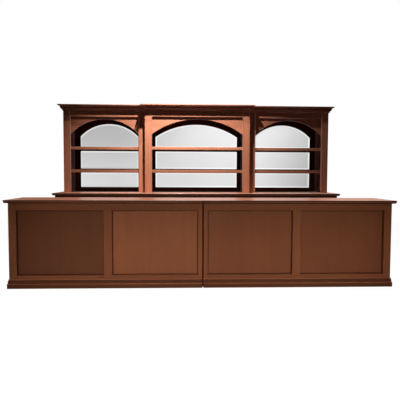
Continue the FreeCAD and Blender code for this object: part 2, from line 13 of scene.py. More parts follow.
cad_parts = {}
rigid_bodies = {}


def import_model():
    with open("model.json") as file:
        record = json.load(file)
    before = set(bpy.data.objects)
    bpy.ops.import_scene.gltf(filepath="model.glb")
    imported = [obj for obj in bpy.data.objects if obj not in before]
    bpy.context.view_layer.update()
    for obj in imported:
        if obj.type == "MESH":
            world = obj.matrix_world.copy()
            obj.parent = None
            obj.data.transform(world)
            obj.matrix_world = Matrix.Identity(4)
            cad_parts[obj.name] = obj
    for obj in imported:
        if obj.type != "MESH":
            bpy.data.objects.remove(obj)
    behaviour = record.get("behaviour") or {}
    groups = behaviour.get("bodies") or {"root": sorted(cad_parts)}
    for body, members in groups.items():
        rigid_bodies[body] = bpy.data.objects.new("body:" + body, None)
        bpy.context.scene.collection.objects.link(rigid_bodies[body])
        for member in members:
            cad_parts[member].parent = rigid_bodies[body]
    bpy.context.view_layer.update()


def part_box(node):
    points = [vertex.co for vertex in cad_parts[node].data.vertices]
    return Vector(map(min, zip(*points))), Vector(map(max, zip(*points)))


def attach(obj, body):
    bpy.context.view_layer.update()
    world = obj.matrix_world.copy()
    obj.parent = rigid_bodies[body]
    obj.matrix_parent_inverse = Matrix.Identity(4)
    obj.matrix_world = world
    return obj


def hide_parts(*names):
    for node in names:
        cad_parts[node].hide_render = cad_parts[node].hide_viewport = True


bl_info = {
    "name": "Mahogany bar with shelved back bar",
    "version": (1, 0, 0),
    "blender": (4, 5, 0),
    "location": "View3D > Sidebar > Bar",
    "description": "Finished woodwork, mirrors and fittings for a panelled bar and its back bar",
    "category": "Object",
}

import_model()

COUNTERS = ("bar", "base")
SIDES = ("left", "right")
UNITS = ("left", "centre", "right")
DOORS = (1, 2, 3, 4)
ALONG_X, ALONG_Y, ALONG_Z = 0, 1, 2
# two places closer than this are the same
NEAR = 1e-5

# rounding of the arrises that are sanded less or more than the rest
CRISP_EDGE, THIN_EDGE, SHELF_EDGE, LIPPING_EDGE = 0.0004, 0.0006, 0.002, 0.004
# arrises that turn by more than this get sanded
SHARP_TURN = math.radians(40)

# painted shade: how much darker than the middle tone of the wood the plinth, crown and lower
# shelves are
PLINTH_SHADE_TONE, CROWN_SHADE_TONE, LOWER_SHELF_SHADE_TONE = 0.57, 0.82, 0.72
# painted light on the front bar's panels, from the joint of the two modules outwards, brightest by
# the joint
PANEL_LIGHT_TONES = {"left": (1.14, 0.62), "right": (0.92, 0.84)}
# painted shade in panels' corners, the dark joint, and painted highlights on its arris and on
# moulding tops
PAINTED_SHADE_TONE, JOINT_TONE, ARRIS_HIGHLIGHT_TONE, MOULDING_HIGHLIGHT_TONE = 0.30, 0.10, 1.3, 2.4
# how far the shade goes in beside the joint between two modules
JOINT_EDGE = 0.006
# bands of painted light and shade: start, end and tone, as shares of a moulding's height
NOSING_BANDS = ((0.64, 0.99, 0.22), (0.30, 0.62, 1.7), (0.0, 0.22, 0.3))
SKIRTING_BANDS = ((0.88, 1.0, MOULDING_HIGHLIGHT_TONE),)
CAP_BANDS = ((0.47, 0.882, 0.7), (0.8825, 1.0, MOULDING_HIGHLIGHT_TONE * 1.4))

# profiles as shares of their width and height: corners, and curves given by a point that
# they pass and their end
NOSING = (
    (0, 0), (0.4, 0), ((0.76, 0.18), (0.9, 0.6)), (1, 0.65),
    (1, 0.92), ((0.97, 0.98), (0.9, 1)), (0, 1),
)
SKIRTING = ((0, 0), (1, 0), (1, 0.8), (1, 0.9), ((0.96, 0.97), (0.85, 1)), (0, 1))
CAP = (
    (0, 0), (1, 0), (1, 0.5), ((0.93, 0.62), (0.74, 0.7)), ((0.52, 0.76), (0.46, 0.9)),
    (0.6, 0.92), (0.6, 1), (0, 1),
)
CROWN = (
    (0, 0), (0.08, 0), ((0.18, 0.06), (0.08, 0.12)), (0.16, 0.14), (0.16, 0.2),
    ((0.38, 0.3), (0.5, 0.5)), ((0.62, 0.7), (0.86, 0.8)), (0.86, 0.85), (1, 0.87), (1, 1), (0, 1),
)

# figure of the wood: stretch along and across the grain, then the noise's scale, detail,
# roughness and distortion
RIBBON = ((0.35, 9.0, 9.0), 1.2, 2.0, 0.5, 0.6)
STREAK = ((2.2, 150.0, 150.0), 1.7, 4.0, 0.6, 0.3)
CLOUD = ((0.9, 1.9, 1.9), 1.2, 2.0)
PORE = ((34.0, 900.0, 900.0), 1.0, 1.0)
# where each starts and ends in its noise, and how much of its tint shows there
RIBBON_SHOWS, STREAK_SHOWS = (0.30, 0.70, 0.0, 0.6), (0.46, 0.80, 0.0, 0.38)
PORE_SHOWS, CLOUD_SHOWS = (0.58, 0.70, 0.0, 0.60), (0.25, 0.75)
CLOUD_LOW, CLOUD_HIGH = 0.93, 1.06
# heights of reliefs, each with its strength
GRAIN_RELIEF, FLECK_RELIEF = (0.0002, 0.25), (0.0002, 0.4)
BRUSHED_RELIEF, GLASS_RELIEF = (0.0001, 0.25), (0.0006, 0.10)
LACQUER_IOR, GLASS_IOR = 1.45, 1.52
# how squarely the flat of a mirror and its ground bevel face the front
BEVEL_FACING = (0.9975, 0.9995, 1.0, 0.0)

# the floor: its radius, and how white a lens or a mirror sees it
FLOOR_RADIUS, FLOOR_WHITE = 9.0, 0.975
# colours of the small lamps, of the wide ones, and of the backdrop in satin wood
LAMP_COLOUR, SOFT_COLOUR = (0.82, 1.0, 1.13), (0.90, 1.0, 0.90)
SATIN_COLOUR = (1.25, 0.86, 0.74)
# the room that polish and mirrors see: where each part of it starts and ends, as one
# component of a direction, and how bright it is there
ROOM = {
    "across": (-0.17, 0.11, 0.56, 1.04), "past": (0.15, 0.32, 0.0, -0.42),
    "low": (-0.02, 0.10, 0.26, 0.0), "low_across": (-0.20, 0.12, 1.0, -0.6),
    "beside": (0.31, 0.36), "over": (0.17, 0.22), "under": (-0.10, -0.03, 0.2, 1.0),
    "backdrop": (0.30, 0.37, 0.08, 0.95), "rear": (-0.2, 0.2), "front": (-0.2, 0.2, 1.0, 0.0),
}
# where its middle lies across, and what share of its far end satin wood sees
ROOM_MIDDLE, SATIN_SHARE = -0.03, 0.10
# wide lamps: their width and beam, then each one's place, turn, its axis, and length
SOFT_WIDTH, SOFT_BEAM = 0.40, 54
SOFT_LAMPS = {
    "front": ((0.05, -4.1, 1.5), 65, "X", 5.0),
    "rear": ((0.0, 4.9, 2.7), -68, "X", 5.0),
    "left": ((-5.3, 0.2, 2.5), -68, "Y", 3.2),
    "right": ((5.3, 0.2, 2.5), 68, "Y", 3.2),
}


# ---------------------------------------------------------------- settings
def amount(name, description, default, **limits):
    return FloatProperty(name=name, description=description, default=default, **limits)


def length(name, description, default):
    return amount(name, description, default, min=0.0, unit="LENGTH")


def angle(name, description, degrees):
    return amount(name, description, math.radians(degrees), subtype="ANGLE")


def power(name, description, watts):
    return amount(name, description, watts, min=0.0, unit="POWER")


def steps(name, description, default):
    return IntProperty(name=name, description=description, default=default, min=3, max=128)


def tint(name, description, default):
    return FloatVectorProperty(
        name=name, description=description, default=default, size=3, min=0, max=1, subtype="COLOR",
    )


def place(name, description, default):
    return FloatVectorProperty(
        name=name, description=description, default=default, size=3, subtype="TRANSLATION",
    )


class JoinerySettings(PropertyGroup):
    """Board sizes that both counters and the hutches share."""

    board: length("Board", "Thickness of carcass boards", 0.020)
    flush_panel: length("Panel", "Thickness of thin panels", 0.009)
    shelf: length("Shelf", "Thickness of shelf boards", 0.025)
    rear_rail: length("Rear rail", "Depth of the rails along the rear", 0.060)
    bearer: length("Bearer", "Width of a shelf bearer", 0.018)
    bearer_height: length("Bearer height", "Height of a shelf bearer", 0.025)
    eased_edge: length("Eased edge", "Rounding of sanded arrises", 0.0012)
    nosing: length("Nosing", "Depth of the moulded edge of a top", 0.030)
    seam_chamfer: length("Seam chamfer", "Chamfer beside the joint of two modules", 0.003)
    skirting: length("Skirting", "Height of the skirting boards", 0.060)
    cap_proud: length("Base moulding", "How far the base moulding stands out", 0.012)
    # painted shade: the dark rim stands in for shade in a sunk panel's corners
    rim: length("Dark rim", "Width of the darker polish round sunk panels", 0.009)
    edge_steps: steps("Curve steps", "Steps in each curve of a moulding", 7)


class BarSettings(PropertyGroup):
    """Sizes of the front bar's frame, panels and shelves."""

    end_stile: length("End stile", "Width of the outer stiles", 0.075)
    mid_stile: length("Middle stile", "Width of the middle stiles", 0.102)
    seam_stile: length("Seam stile", "Width of the stiles at the seam", 0.062)
    top_rail: length("Top rail", "Depth of the top rail", 0.091)
    bottom_rail: length("Bottom rail", "Depth of the bottom rail", 0.161)
    floor_height: length("Floor", "Height of the cupboard floor", 0.120)
    shelf_height: length("Shelf", "Height of the underside of the shelf", 0.560)
    toe_setback: length("Toe setback", "Setback of the rear toe board", 0.052)


class BaseSettings(PropertyGroup):
    """Sizes of the back bar base, its sliding doors and their pulls."""

    end_stile: length("End stile", "Width of the outer stiles", 0.040)
    mid_stile: length("Middle stile", "Width of the middle stiles", 0.100)
    seam_stile: length("Seam stile", "Width of the stiles at the seam", 0.060)
    top_rail: length("Top rail", "Depth of the top rail", 0.085)
    bottom_rail: length("Bottom rail", "Depth of the bottom rail", 0.150)
    shelf_height: length("Shelf", "Height of the underside of the shelf", 0.560)
    shelf_setback: length("Shelf setback", "Distance from the guides to the shelf", 0.015)
    door_stile: length("Door stile", "Visible width of door stiles", 0.075)
    door_rail: length("Door bottom rail", "Depth of a door's bottom rail", 0.090)
    panel_recess: length("Door panel recess", "Step from a door's frame to its panel", 0.006)
    door_panel: length("Door panel", "Thickness of a door's panel", 0.008)
    door: length("Door", "Thickness of a door", 0.020)
    running_gap: length("Running gap", "Gap between the doors' tracks", 0.004)
    runner: length("Runner", "Thickness of a door's runners", 0.008)
    foot_gap: length("Foot gap", "Gap under and over a door", 0.002)
    track_play: length("Track play", "Side play of a runner in its groove", 0.0005)
    track_depth: length("Track depth", "Depth of the floor grooves", 0.006)
    guide: length("Guide", "Thickness of the top guide", 0.025)
    guide_depth: length("Guide groove", "Depth of the top guide's grooves", 0.015)
    pull_wall: length("Pull wall", "Sheet thickness of a finger pull", 0.0015)
    pull_lip: length("Pull lip", "Width of the lip round a finger pull", 0.003)
    pull_corner: length("Pull corner", "Corner radius of a finger pull", 0.006)
    screw_head: length("Screw head", "Radius of a pull's screw heads", 0.0034)
    screw_rise: length("Screw rise", "Height of a pull's screw heads", 0.0012)
    screw_inset: length("Screw inset", "From the end of a pull to its screw", 0.017)


class HutchSettings(PropertyGroup):
    """Sizes of the hutches' frames, arches, shelves and mirrors."""

    stile: length("Stile", "Width of a stile beside its end panel", 0.100)
    rail: length("Rail", "Depth of the rail under the roof", 0.200)
    bead: length("Bead radius", "Radius of the bead on each stile", 0.005)
    quirk: length("Quirk", "Width of the groove beside the bead", 0.002)
    pilaster: length("Side box", "Width from the end panel to the inner lining", 0.070)
    lining: length("Lining", "Thickness of the inner lining", 0.018)
    packing: length("Packing", "Height of the packing pieces", 0.060)
    arch_rise: length("Arch rise", "Rise of the valance's arch", 0.260)
    lower_shelf: length("Lower shelf", "Top of the lower shelf over the base top", 0.400)
    upper_shelf: length("Upper shelf", "Top of the upper shelf over the base top", 0.800)
    lipping: length("Lipping", "Thickness of a shelf's front lipping", 0.025)
    lipping_height: length("Lipping height", "Height of a shelf's front lipping", 0.050)
    mirror_foot: length("Mirror bottom rail", "Height of a mirror's bottom rail", 0.080)
    rail_rise: length("Mirror rail rise", "Height of a mirror rail over its shelf", 0.025)
    side_margin: length("Side margin", "From the opening to the side units' mirrors", 0.055)
    centre_margin: length("Centre margin", "From the opening to the centre mirror", 0.025)
    mirror_spring: length("Mirror springing", "Springing over the base top", 1.020)
    mirror_rise: length("Mirror rise", "Rise of the mirror's arch", 0.232)
    mirror_bevel: length("Mirror bevel", "Visible width of a mirror's ground bevel", 0.025)
    mirror_lap: length("Mirror lap", "How far a pane reaches behind its frame", 0.010)
    mirror_thickness: length("Mirror", "Thickness of the mirror glass", 0.006)
    mirror_edge: length("Mirror edge", "Thickness left at a mirror's edge", 0.003)
    arch_steps: steps("Arch steps", "Steps round each arch", 48)


class FinishSettings(PropertyGroup):
    """Colours of the finishes."""

    mahogany: tint("Mahogany", "Middle tone of the stained wood", (0.300, 0.086, 0.038))
    dark_grain: tint("Dark grain", "Dark streaks and pores", (0.215, 0.060, 0.026))
    light_grain: tint("Light grain", "Light ribbons of the grain", (0.335, 0.097, 0.043))
    backing: tint("Backing board", "Unpolished backing board", (0.235, 0.110, 0.058))
    silver: tint("Mirror silver", "Tint of the mirrors", (0.86, 0.862, 0.86))
    bevel_bend: amount("Bevel bend", "How far a bevel bends the view for each degree", 0.52)
    brass: tint("Brass", "Satin brass of the finger pulls", (0.72, 0.50, 0.22))


class StudioSettings(PropertyGroup):
    """Camera, lamps and floor."""

    focal: amount("Focal length", "Lens in millimetres", 39.47)
    camera: place("Camera", "Place of the lens", (-0.2565, -6.8616, 1.418))
    yaw: angle("Yaw", "Turn to the right", 2.274)
    pitch: angle("Pitch", "Tilt downwards", 3.099)
    roll: angle("Roll", "Turn about the view", 0.233)
    frame_shift: amount("Shift", "Vertical lens shift", -0.0039)
    lamp_size: length("Lamp size", "Width of the two small lamps", 0.09)
    key_place: place("Key lamp", "Lamp aimed at the hutches", (-0.315, -0.333, 4.92))
    key_power: power("Key power", "Power of the lamp aimed at the hutches", 150.0)
    key_tilt: angle("Key tilt", "Tilt of its beam towards the back", 30.3)
    key_beam: angle("Key beam", "Width of its beam", 71.0)
    aisle_place: place("Aisle lamp", "Lamp high over the aisle", (-0.21, -0.515, 7.06))
    aisle_power: power("Aisle power", "Power of the lamp high over the aisle", 178.0)
    aisle_tilt: angle("Aisle tilt", "Tilt of its beam towards the back", 0.0)
    aisle_beam: angle("Aisle beam", "Width of its beam", 72.0)
    front_power: power("Front lamp", "Power of the wide lamp before the bar", 14.5)
    rear_power: power("Rear lamp", "Power of the wide lamp behind the bar", 34.0)
    left_power: power("Left lamp", "Power of the wide lamp at the left end", 12.0)
    right_power: power("Right lamp", "Power of the wide lamp at the right end", 12.0)
    fill_level: amount("Fill", "Level of the room's soft light", 0.03)
    floor_tone: amount("Floor tone", "Paleness of the floor", 0.08)


SETTINGS = {
    "joinery": JoinerySettings,
    "bar": BarSettings,
    "base": BaseSettings,
    "hutch": HutchSettings,
    "finish": FinishSettings,
    "studio": StudioSettings,
}


def settings(name):
    """One group of the settings."""
    return getattr(bpy.context.scene, "counter_" + name)


# ---------------------------------------------------------------- woodworking
def in_scene(name, data):
    """A new object, linked into the scene."""
    made = bpy.data.objects.new(name, data)
    bpy.context.scene.collection.objects.link(made)
    return made


def turned(point, *turns):
    """The matrix of a place and of the turns made there, each a size and its axis."""
    matrix = Matrix.Translation(point)
    for size, axis in turns:
        matrix = matrix @ Matrix.Rotation(size, 4, axis)
    return matrix


class Bench:
    """One piece on the bench: a mesh that boards are added to, with the run of their grain.

    Its tone says how light its boards are beside the middle tone of the wood, painted light and
    shade on some pieces.
    """

    def __init__(self, node, tone=1.0):
        self.node = node
        self.name = "finished_" + node
        self.shade = tone
        # boards marked inside take the darker, painted shade mahogany
        self.inside = False
        self.bm = bmesh.new()
        self.grain = self.bm.verts.layers.float_vector.new("grain")
        self.tone = self.bm.verts.layers.float.new("tone")
        self.chance = random.Random(self.name)

    def fresh(self):
        """Vertices that no board has claimed yet."""
        return [v for v in self.bm.verts if v[self.tone] == 0.0]

    def fresh_faces(self):
        return list({f for v in self.fresh() for f in v.link_faces})

    def claim(self, run):
        """Give the new vertices one board's grain, which runs along the given axis."""
        shift = Vector([self.chance.uniform(-9, 9) for _ in range(3)])
        tone = self.shade * self.chance.uniform(0.95, 1.05)
        for v in self.fresh():
            x, y, z = v.co
            v[self.grain] = Vector(((x, y, z), (y, z, x), (z, x, y))[run]) + shift
            v[self.tone] = tone
            for face in v.link_faces:
                face.material_index = int(self.inside)

    def extrude(self, faces, vector, keep=False):
        """Draw faces out along a vector; gives the vertices that moved."""
        made = bmesh.ops.extrude_face_region(self.bm, geom=faces, use_keep_orig=keep)
        verts = [g for g in made["geom"] if isinstance(g, bmesh.types.BMVert)]
        bmesh.ops.translate(self.bm, verts=verts, vec=vector)
        return verts

    def sink(self, faces, depth):
        """Press faces in from the front."""
        self.extrude(faces, (0, depth, 0))
        left = [f for f in faces if f.is_valid]
        bmesh.ops.delete(self.bm, geom=left, context="FACES_ONLY")

    def inset(self, face, width):
        bmesh.ops.inset_region(self.bm, faces=[face], thickness=width, use_even_offset=True)

    def face_outwards(self):
        bmesh.ops.recalc_face_normals(self.bm, faces=self.fresh_faces())

    def round_over(self, edges, radius, segments=2):
        """Round the given arrises."""
        bmesh.ops.bevel(
            self.bm, geom=edges, offset=radius, offset_type="OFFSET", affect="EDGES",
            segments=segments, profile=0.5, material=-1, clamp_overlap=True,
        )

    def ease_fresh(self, radius=None):
        """Sand the sharp arrises of the newest board."""
        fresh = set(self.fresh())
        edges = [
            e for e in self.bm.edges
            if e.verts[0] in fresh and len(e.link_faces) == 2
            and e.calc_face_angle(0.0) > SHARP_TURN
        ]
        self.round_over(edges, radius or settings("joinery").eased_edge)

    def stain(self, tone, where):
        """Lighten or darken the colour at the vertices that the test picks: painted light and
        shade, and the dark joints.
        """
        for v in filter(where, self.bm.verts):
            v[self.tone] *= tone

    def stain_bands(self, bands, foot, height):
        """Painted light and shade in bands of a moulding's height."""
        for start, end, tone in bands:
            low, high = foot + start * height - NEAR, foot + end * height + NEAR
            self.stain(tone, lambda v: low < v.co.z < high)

    def stain_joint(self, x):
        """Darken the end of a right-hand piece where it meets the next module."""
        self.stain(JOINT_TONE, lambda v: v.co.x < x + JOINT_EDGE / 2)

    def cube(self, low, high):
        """A plain block between two corners."""
        low, high = Vector(low), Vector(high)
        size = Matrix.Diagonal((high - low).to_4d())
        size[3][3] = 1.0
        middle = Matrix.Translation((low + high) / 2)
        bmesh.ops.create_cube(self.bm, size=1.0, matrix=middle @ size)

    def board(self, low, high, run, radius=None):
        """A sanded board between two corners, with its grain along an axis."""
        self.cube(low, high)
        self.ease_fresh(radius)
        self.claim(run)

    def prism(self, outline, vector, run, radius=None):
        """A board with the given outline, drawn out along a vector; radius 0 leaves it sharp."""
        face = self.bm.faces.new([self.bm.verts.new(p) for p in outline])
        self.extrude([face], vector, keep=True)
        self.face_outwards()
        if radius != 0:
            self.ease_fresh(radius)
        self.claim(run)

    def arc(self, start, centre, sweep, count):
        """Points round an upright arc from start, made by spinning one vertex."""
        first = self.bm.verts.new(start)
        bmesh.ops.spin(
            self.bm, geom=[first], cent=centre, axis=(0, 1, 0), angle=sweep, steps=count,
            use_duplicate=False,
        )
        made = sorted(self.fresh(), key=lambda v: (v.co - Vector(start)).length)
        points = [v.co.copy() for v in made]
        bmesh.ops.delete(self.bm, geom=made, context="VERTS")
        return points

    def moulding(self, profile, path, foot, neighbours=(0, 0)):
        """Sweep a profile of (out, up) points along plan points, mitred at each turn.

        Runs that belong to the neighbours at either end only give their mitres.
        """
        plan = [Vector((x, y, 0)) for x, y in path]
        runs = [(b - a).normalized() for a, b in zip(plan, plan[1:])]
        outs = [run.cross(Vector((0, 0, 1))) for run in runs]
        stations = []
        for index, point in enumerate(plan):
            before, after = outs[max(index - 1, 0)], outs[min(index, len(outs) - 1)]
            stations.append((point, (before + after) / (1 + before.dot(after))))
        for index in range(neighbours[0], len(runs) - neighbours[1]):
            self.moulding_length(profile, stations[index], stations[index + 1], foot)
            self.claim(ALONG_X if abs(runs[index].x) > 0.5 else ALONG_Y)

    def moulding_length(self, profile, start, end, foot):
        """One mitred length between two stations."""
        def at(station, out, up):
            point, mitre = station
            return point + mitre * out + Vector((0, 0, foot + up))

        def key(v):
            return tuple(round(c, 6) for c in v.co)

        first = [self.bm.verts.new(at(start, *point)) for point in profile]
        swept = self.extrude([self.bm.faces.new(first)], (0, 0, 0), keep=True)
        twins = {key(v): v for v in swept}
        for v, point in zip(first, profile):
            twins[key(v)].co = at(end, *point)
        self.face_outwards()

    def mirror_left(self):
        """Turn a right-hand piece into a left-hand one, where it is named so."""
        if "_left" in self.node:
            bmesh.ops.scale(self.bm, vec=(-1, 1, 1), verts=self.bm.verts)
            bmesh.ops.reverse_faces(self.bm, faces=self.bm.faces)

    def deliver(self, *finishes, slot, body="counter", smooth_angle=35):
        """Turn the work into an object that stands for its CAD node."""
        mesh = bpy.data.meshes.new(self.name)
        self.bm.to_mesh(mesh)
        self.bm.free()
        piece = in_scene(self.name, mesh)
        for name in finishes:
            mesh.materials.append(finish(name))
        mesh.shade_smooth()
        mesh.set_sharp_from_angle(angle=math.radians(smooth_angle))
        flat = piece.modifiers.new("flat_faces", "WEIGHTED_NORMAL")
        flat.keep_sharp = True
        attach(piece, body)
        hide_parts(self.node)


def arc_points(start, through, end, count):
    """Points on the arc through three plan points, without the first."""
    (ax, ay), (bx, by), (cx, cy) = start, through, end
    a, b, c = ax**2 + ay**2, bx**2 + by**2, cx**2 + cy**2
    d = 2 * (ax * (by - cy) + bx * (cy - ay) + cx * (ay - by))
    ux = (a * (by - cy) + b * (cy - ay) + c * (ay - by)) / d
    uy = (a * (cx - bx) + b * (ax - cx) + c * (bx - ax)) / d
    radius = math.hypot(ax - ux, ay - uy)
    first = math.atan2(ay - uy, ax - ux)
    middle = (math.atan2(by - uy, bx - ux) - first) % math.tau
    last = (math.atan2(cy - uy, cx - ux) - first) % math.tau
    if middle > last:
        last -= math.tau
    turns = [first + last * i / count for i in range(1, count + 1)]
    return [(ux + radius * math.cos(t), uy + radius * math.sin(t)) for t in turns]


def profile_points(moves, wide=1.0, high=1.0):
    """Outline of a profile: each move is a corner, or a point passed through and an end."""
    points = []
    for move in moves:
        curved = isinstance(move[0], tuple)
        ends = [(x * wide, y * high) for x, y in (move if curved else [move])]
        if curved:
            points += arc_points(points[-1], *ends, settings("joinery").edge_steps)
        else:
            points += ends
    return points


# ---------------------------------------------------------------- finishes
class Recipe:
    """The nodes of a finish, of the floor or of the room."""

    def __init__(self, owner, output="OutputMaterial"):
        owner.use_nodes = True
        self.tree = owner.node_tree
        self.tree.nodes.clear()
        self.surface = self.node(output).inputs["Surface"]

    def plug(self, socket, value):
        """Link a socket into another, or set it to a number or a colour."""
        if isinstance(value, NodeSocket):
            self.tree.links.new(value, socket)
        else:
            socket.default_value = (*value, 1.0) if socket.type == "RGBA" else value

    def node(self, kind, inputs=None, **choices):
        """A node with its choices made, and its inputs by name or number."""
        made = self.tree.nodes.new("ShaderNode" + kind)
        for key, value in choices.items():
            setattr(made, key, value)
        for key, value in (inputs or {}).items():
            self.plug(made.inputs[key], value)
        return made

    def stretched(self, vector, scale):
        """The vector, stretched so that a pattern runs along the grain."""
        return self.node("Mapping", {"Vector": vector, "Scale": scale}).outputs["Vector"]

    def noise(self, vector, scale, detail=3.0, roughness=0.55, distortion=0.0):
        return self.node("TexNoise", {
            "Vector": vector, "Scale": scale, "Detail": detail, "Roughness": roughness,
            "Distortion": distortion,
        }).outputs["Fac"]

    def ramp(self, value, low, high, out_low=0.0, out_high=1.0):
        """Map a value smoothly from one range to another."""
        return self.node("MapRange", {
            "Value": value, "From Min": low, "From Max": high, "To Min": out_low,
            "To Max": out_high,
        }, interpolation_type="SMOOTHSTEP").outputs["Result"]

    def mix(self, factor, first, second, blend="MIX"):
        """Mix two colours, each a socket or a plain colour."""
        colours = {"Factor": factor, "A": first, "B": second}
        return self.node("Mix", colours, data_type="RGBA", blend_type=blend).outputs["Result"]

    def maths(self, operation, *values):
        """Chain an operation through two or more values."""
        total, *others = values
        for other in others or [0.0]:
            total = self.node("Math", {0: total, 1: other}, operation=operation).outputs[0]
        return total

    def bump(self, height, distance, strength, **inputs):
        shape = {"Height": height, "Distance": distance, "Strength": strength, **inputs}
        return self.node("Bump", shape).outputs["Normal"]

    def polish(self, **inputs):
        """Plug in the shader with its inputs."""
        named = {name.replace("_", " "): value for name, value in inputs.items()}
        self.plug(self.surface, self.node("BsdfPrincipled", named).outputs["BSDF"])


def darker(colour, share):
    return [c * share for c in colour]


def mahogany(coat, coat_roughness, sheen, gloss=0.60, depth=1.0):
    """Stained mahogany: faint ribbon figure, fine streaks and open pores under lacquer.

    The sheen is the range of its roughness; the depth darkens it, as painted shade for the
    insides.
    """
    def mix_in(r, tints):
        grain = r.node("Attribute", attribute_name="grain").outputs["Vector"]
        tone = r.node("Attribute", attribute_name="tone").outputs["Fac"]
        ribbon, streak, cloud, pore = (
            r.noise(r.stretched(grain, stretch), *figure)
            for stretch, *figure in (RIBBON, STREAK, CLOUD, PORE)
        )
        wood = r.mix(r.ramp(ribbon, *RIBBON_SHOWS), tints.mahogany, tints.light_grain)
        wood = r.mix(r.ramp(streak, *STREAK_SHOWS), wood, tints.dark_grain)
        wood = r.mix(r.ramp(pore, *PORE_SHOWS), wood, tints.dark_grain)
        clouds = r.ramp(cloud, *CLOUD_SHOWS, CLOUD_LOW * depth, CLOUD_HIGH * depth)
        shade = r.maths("MULTIPLY", clouds, tone)
        grey = r.node("CombineColor", {"Red": shade, "Green": shade, "Blue": shade}).outputs[0]
        relief = r.maths("ADD", r.maths("MULTIPLY", pore, -0.5), streak)
        r.polish(
            Base_Color=r.mix(1.0, wood, grey, "MULTIPLY"),
            Roughness=r.ramp(streak, 0.3, 0.8, *sheen),
            Normal=r.bump(relief, *GRAIN_RELIEF),
            Coat_Weight=coat, Coat_Roughness=coat_roughness, Coat_IOR=LACQUER_IOR,
            IOR=LACQUER_IOR, Specular_IOR_Level=gloss,
        )
    return mix_in


def backing_board(r, tints):
    """Sealed fibreboard: even brown with fine flecks."""
    point = r.node("TexCoord").outputs["Object"]
    fleck, cloud = r.noise(point, 420.0, 2.0), r.noise(point, 3.0, 3.0)
    brown = r.mix(r.ramp(fleck, 0.4, 0.7), tints.backing, darker(tints.backing, 0.7))
    brown = r.mix(r.ramp(cloud, 0.3, 0.7, 0.0, 0.35), brown, darker(tints.backing, 1.25))
    r.polish(
        Base_Color=brown, Roughness=r.ramp(cloud, 0.3, 0.7, 0.55, 0.7),
        Normal=r.bump(fleck, *FLECK_RELIEF),
    )


def bevelled_mirror(r, tints):
    """Silvered glass.  The ground bevel bends the view inwards, as a wedge of glass does."""
    point = r.node("TexCoord").outputs["Object"]
    facing = r.node("TexCoord").outputs["Normal"]
    haze = r.noise(point, 2.2, 3.0)
    colour = r.mix(r.ramp(haze, 0.3, 0.7), tints.silver, darker(tints.silver, 0.97))
    flat = r.node("VectorMath", {0: facing, 1: (0, -1, 0)}, operation="DOT_PRODUCT")
    bevel = r.ramp(flat.outputs["Value"], *BEVEL_FACING)
    bend = tints.bevel_bend
    bent = r.node(
        "VectorMath", {0: facing, 1: (-bend, -bend, -bend), 2: (0, -1 - bend, 0)},
        operation="MULTIPLY_ADD",
    )
    seen = r.node(
        "VectorTransform", {"Vector": bent.outputs["Vector"]}, vector_type="NORMAL",
        convert_from="OBJECT", convert_to="WORLD",
    )
    r.polish(
        # the bevel is painted whiter than the flat silver: a painted highlight
        Base_Color=r.mix(bevel, colour, (1.0, 1.0, 1.0)),
        Roughness=r.ramp(haze, 0.3, 0.7, 0.0, 0.003),
        Normal=r.bump(r.noise(point, 1.3, 1.0), *GLASS_RELIEF, Normal=seen.outputs["Vector"]),
        Metallic=1.0, IOR=GLASS_IOR,
    )


def satin_brass(r, tints):
    """Brushed brass with fine scratches and darker hollows."""
    point = r.node("TexCoord").outputs["Object"]
    brushed = r.noise(r.stretched(point, (900.0, 900.0, 30.0)), 1.0, 2.0)
    tarnish = r.ramp(r.noise(point, 55.0, 4.0), 0.45, 0.75, 0.0, 0.5)
    r.polish(
        Base_Color=r.mix(tarnish, tints.brass, darker(tints.brass, 0.55)),
        Roughness=r.ramp(brushed, 0.3, 0.7, 0.22, 0.38),
        Normal=r.bump(brushed, *BRUSHED_RELIEF), Metallic=1.0,
    )


RECIPES = {
    "cabinet_mahogany": mahogany(coat=0.12, coat_roughness=0.22, sheen=(0.36, 0.46)),
    # painted shade: a darker copy of the cabinet's mahogany for insides, roofs, backs and frames
    "inside_mahogany": mahogany(
        coat=0.0, coat_roughness=0.30, sheen=(0.50, 0.62), gloss=0.04, depth=0.32,
    ),
    "bar_top_mahogany": mahogany(
        coat=0.20, coat_roughness=0.16, sheen=(0.34, 0.44), gloss=0.40, depth=0.82,
    ),
    "sealed_backing_board": backing_board,
    "silvered_mirror": bevelled_mirror,
    "satin_brass": satin_brass,
}


def finish(name):
    """Each finish, mixed once."""
    if name not in bpy.data.materials:
        RECIPES[name](Recipe(bpy.data.materials.new(name)), settings("finish"))
    return bpy.data.materials[name]


# ---------------------------------------------------------------- counters
def face_frame(counter):
    """Corners of a counter's right-hand face frame."""
    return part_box(counter + "_face_frame_right")


def module_bays(counter):
    """Openings, cells and middle of a right-hand module, from its face frame."""
    sizes, board = settings(counter), settings("joinery").board
    end = face_frame(counter)[1].x
    bay = (end - sizes.end_stile - sizes.seam_stile - sizes.mid_stile) / 2
    first = (sizes.seam_stile, sizes.seam_stile + bay)
    second = (first[1] + sizes.mid_stile, end - sizes.end_stile)
    middle = (first[1] + second[0]) / 2
    cells = ((board, middle - board / 2), (middle + board / 2, end))
    return (first, second), cells, middle


def build_top(side, counter):
    """A top: core board with a moulded edge let round it, at the rear of the bar too."""
    low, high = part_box(counter + "_top_right")
    seam = face_frame("bar")[0].x
    wide, thick = settings("joinery").nosing, high.z - low.z
    front, end = low.y + wide, high.x - wide
    back = high.y - wide if counter == "bar" else high.y
    path = [(seam, front), (seam + JOINT_EDGE, front), (end, front), (end, back)]
    if counter == "bar":
        path.append((seam, back))
    bench = Bench("%s_top_%s" % (counter, side))
    bench.moulding(profile_points(NOSING, wide, thick), path, low.z)
    # painted shade on the nosing's upper fillet and underside, a painted highlight between them
    bench.stain_bands(NOSING_BANDS, low.z, thick)
    bench.stain_joint(seam)
    bench.board((0, front, low.z), (end, back, high.z), ALONG_X, CRISP_EDGE)
    bench.mirror_left()
    bench.deliver("bar_top_mahogany", slot="polished_top")


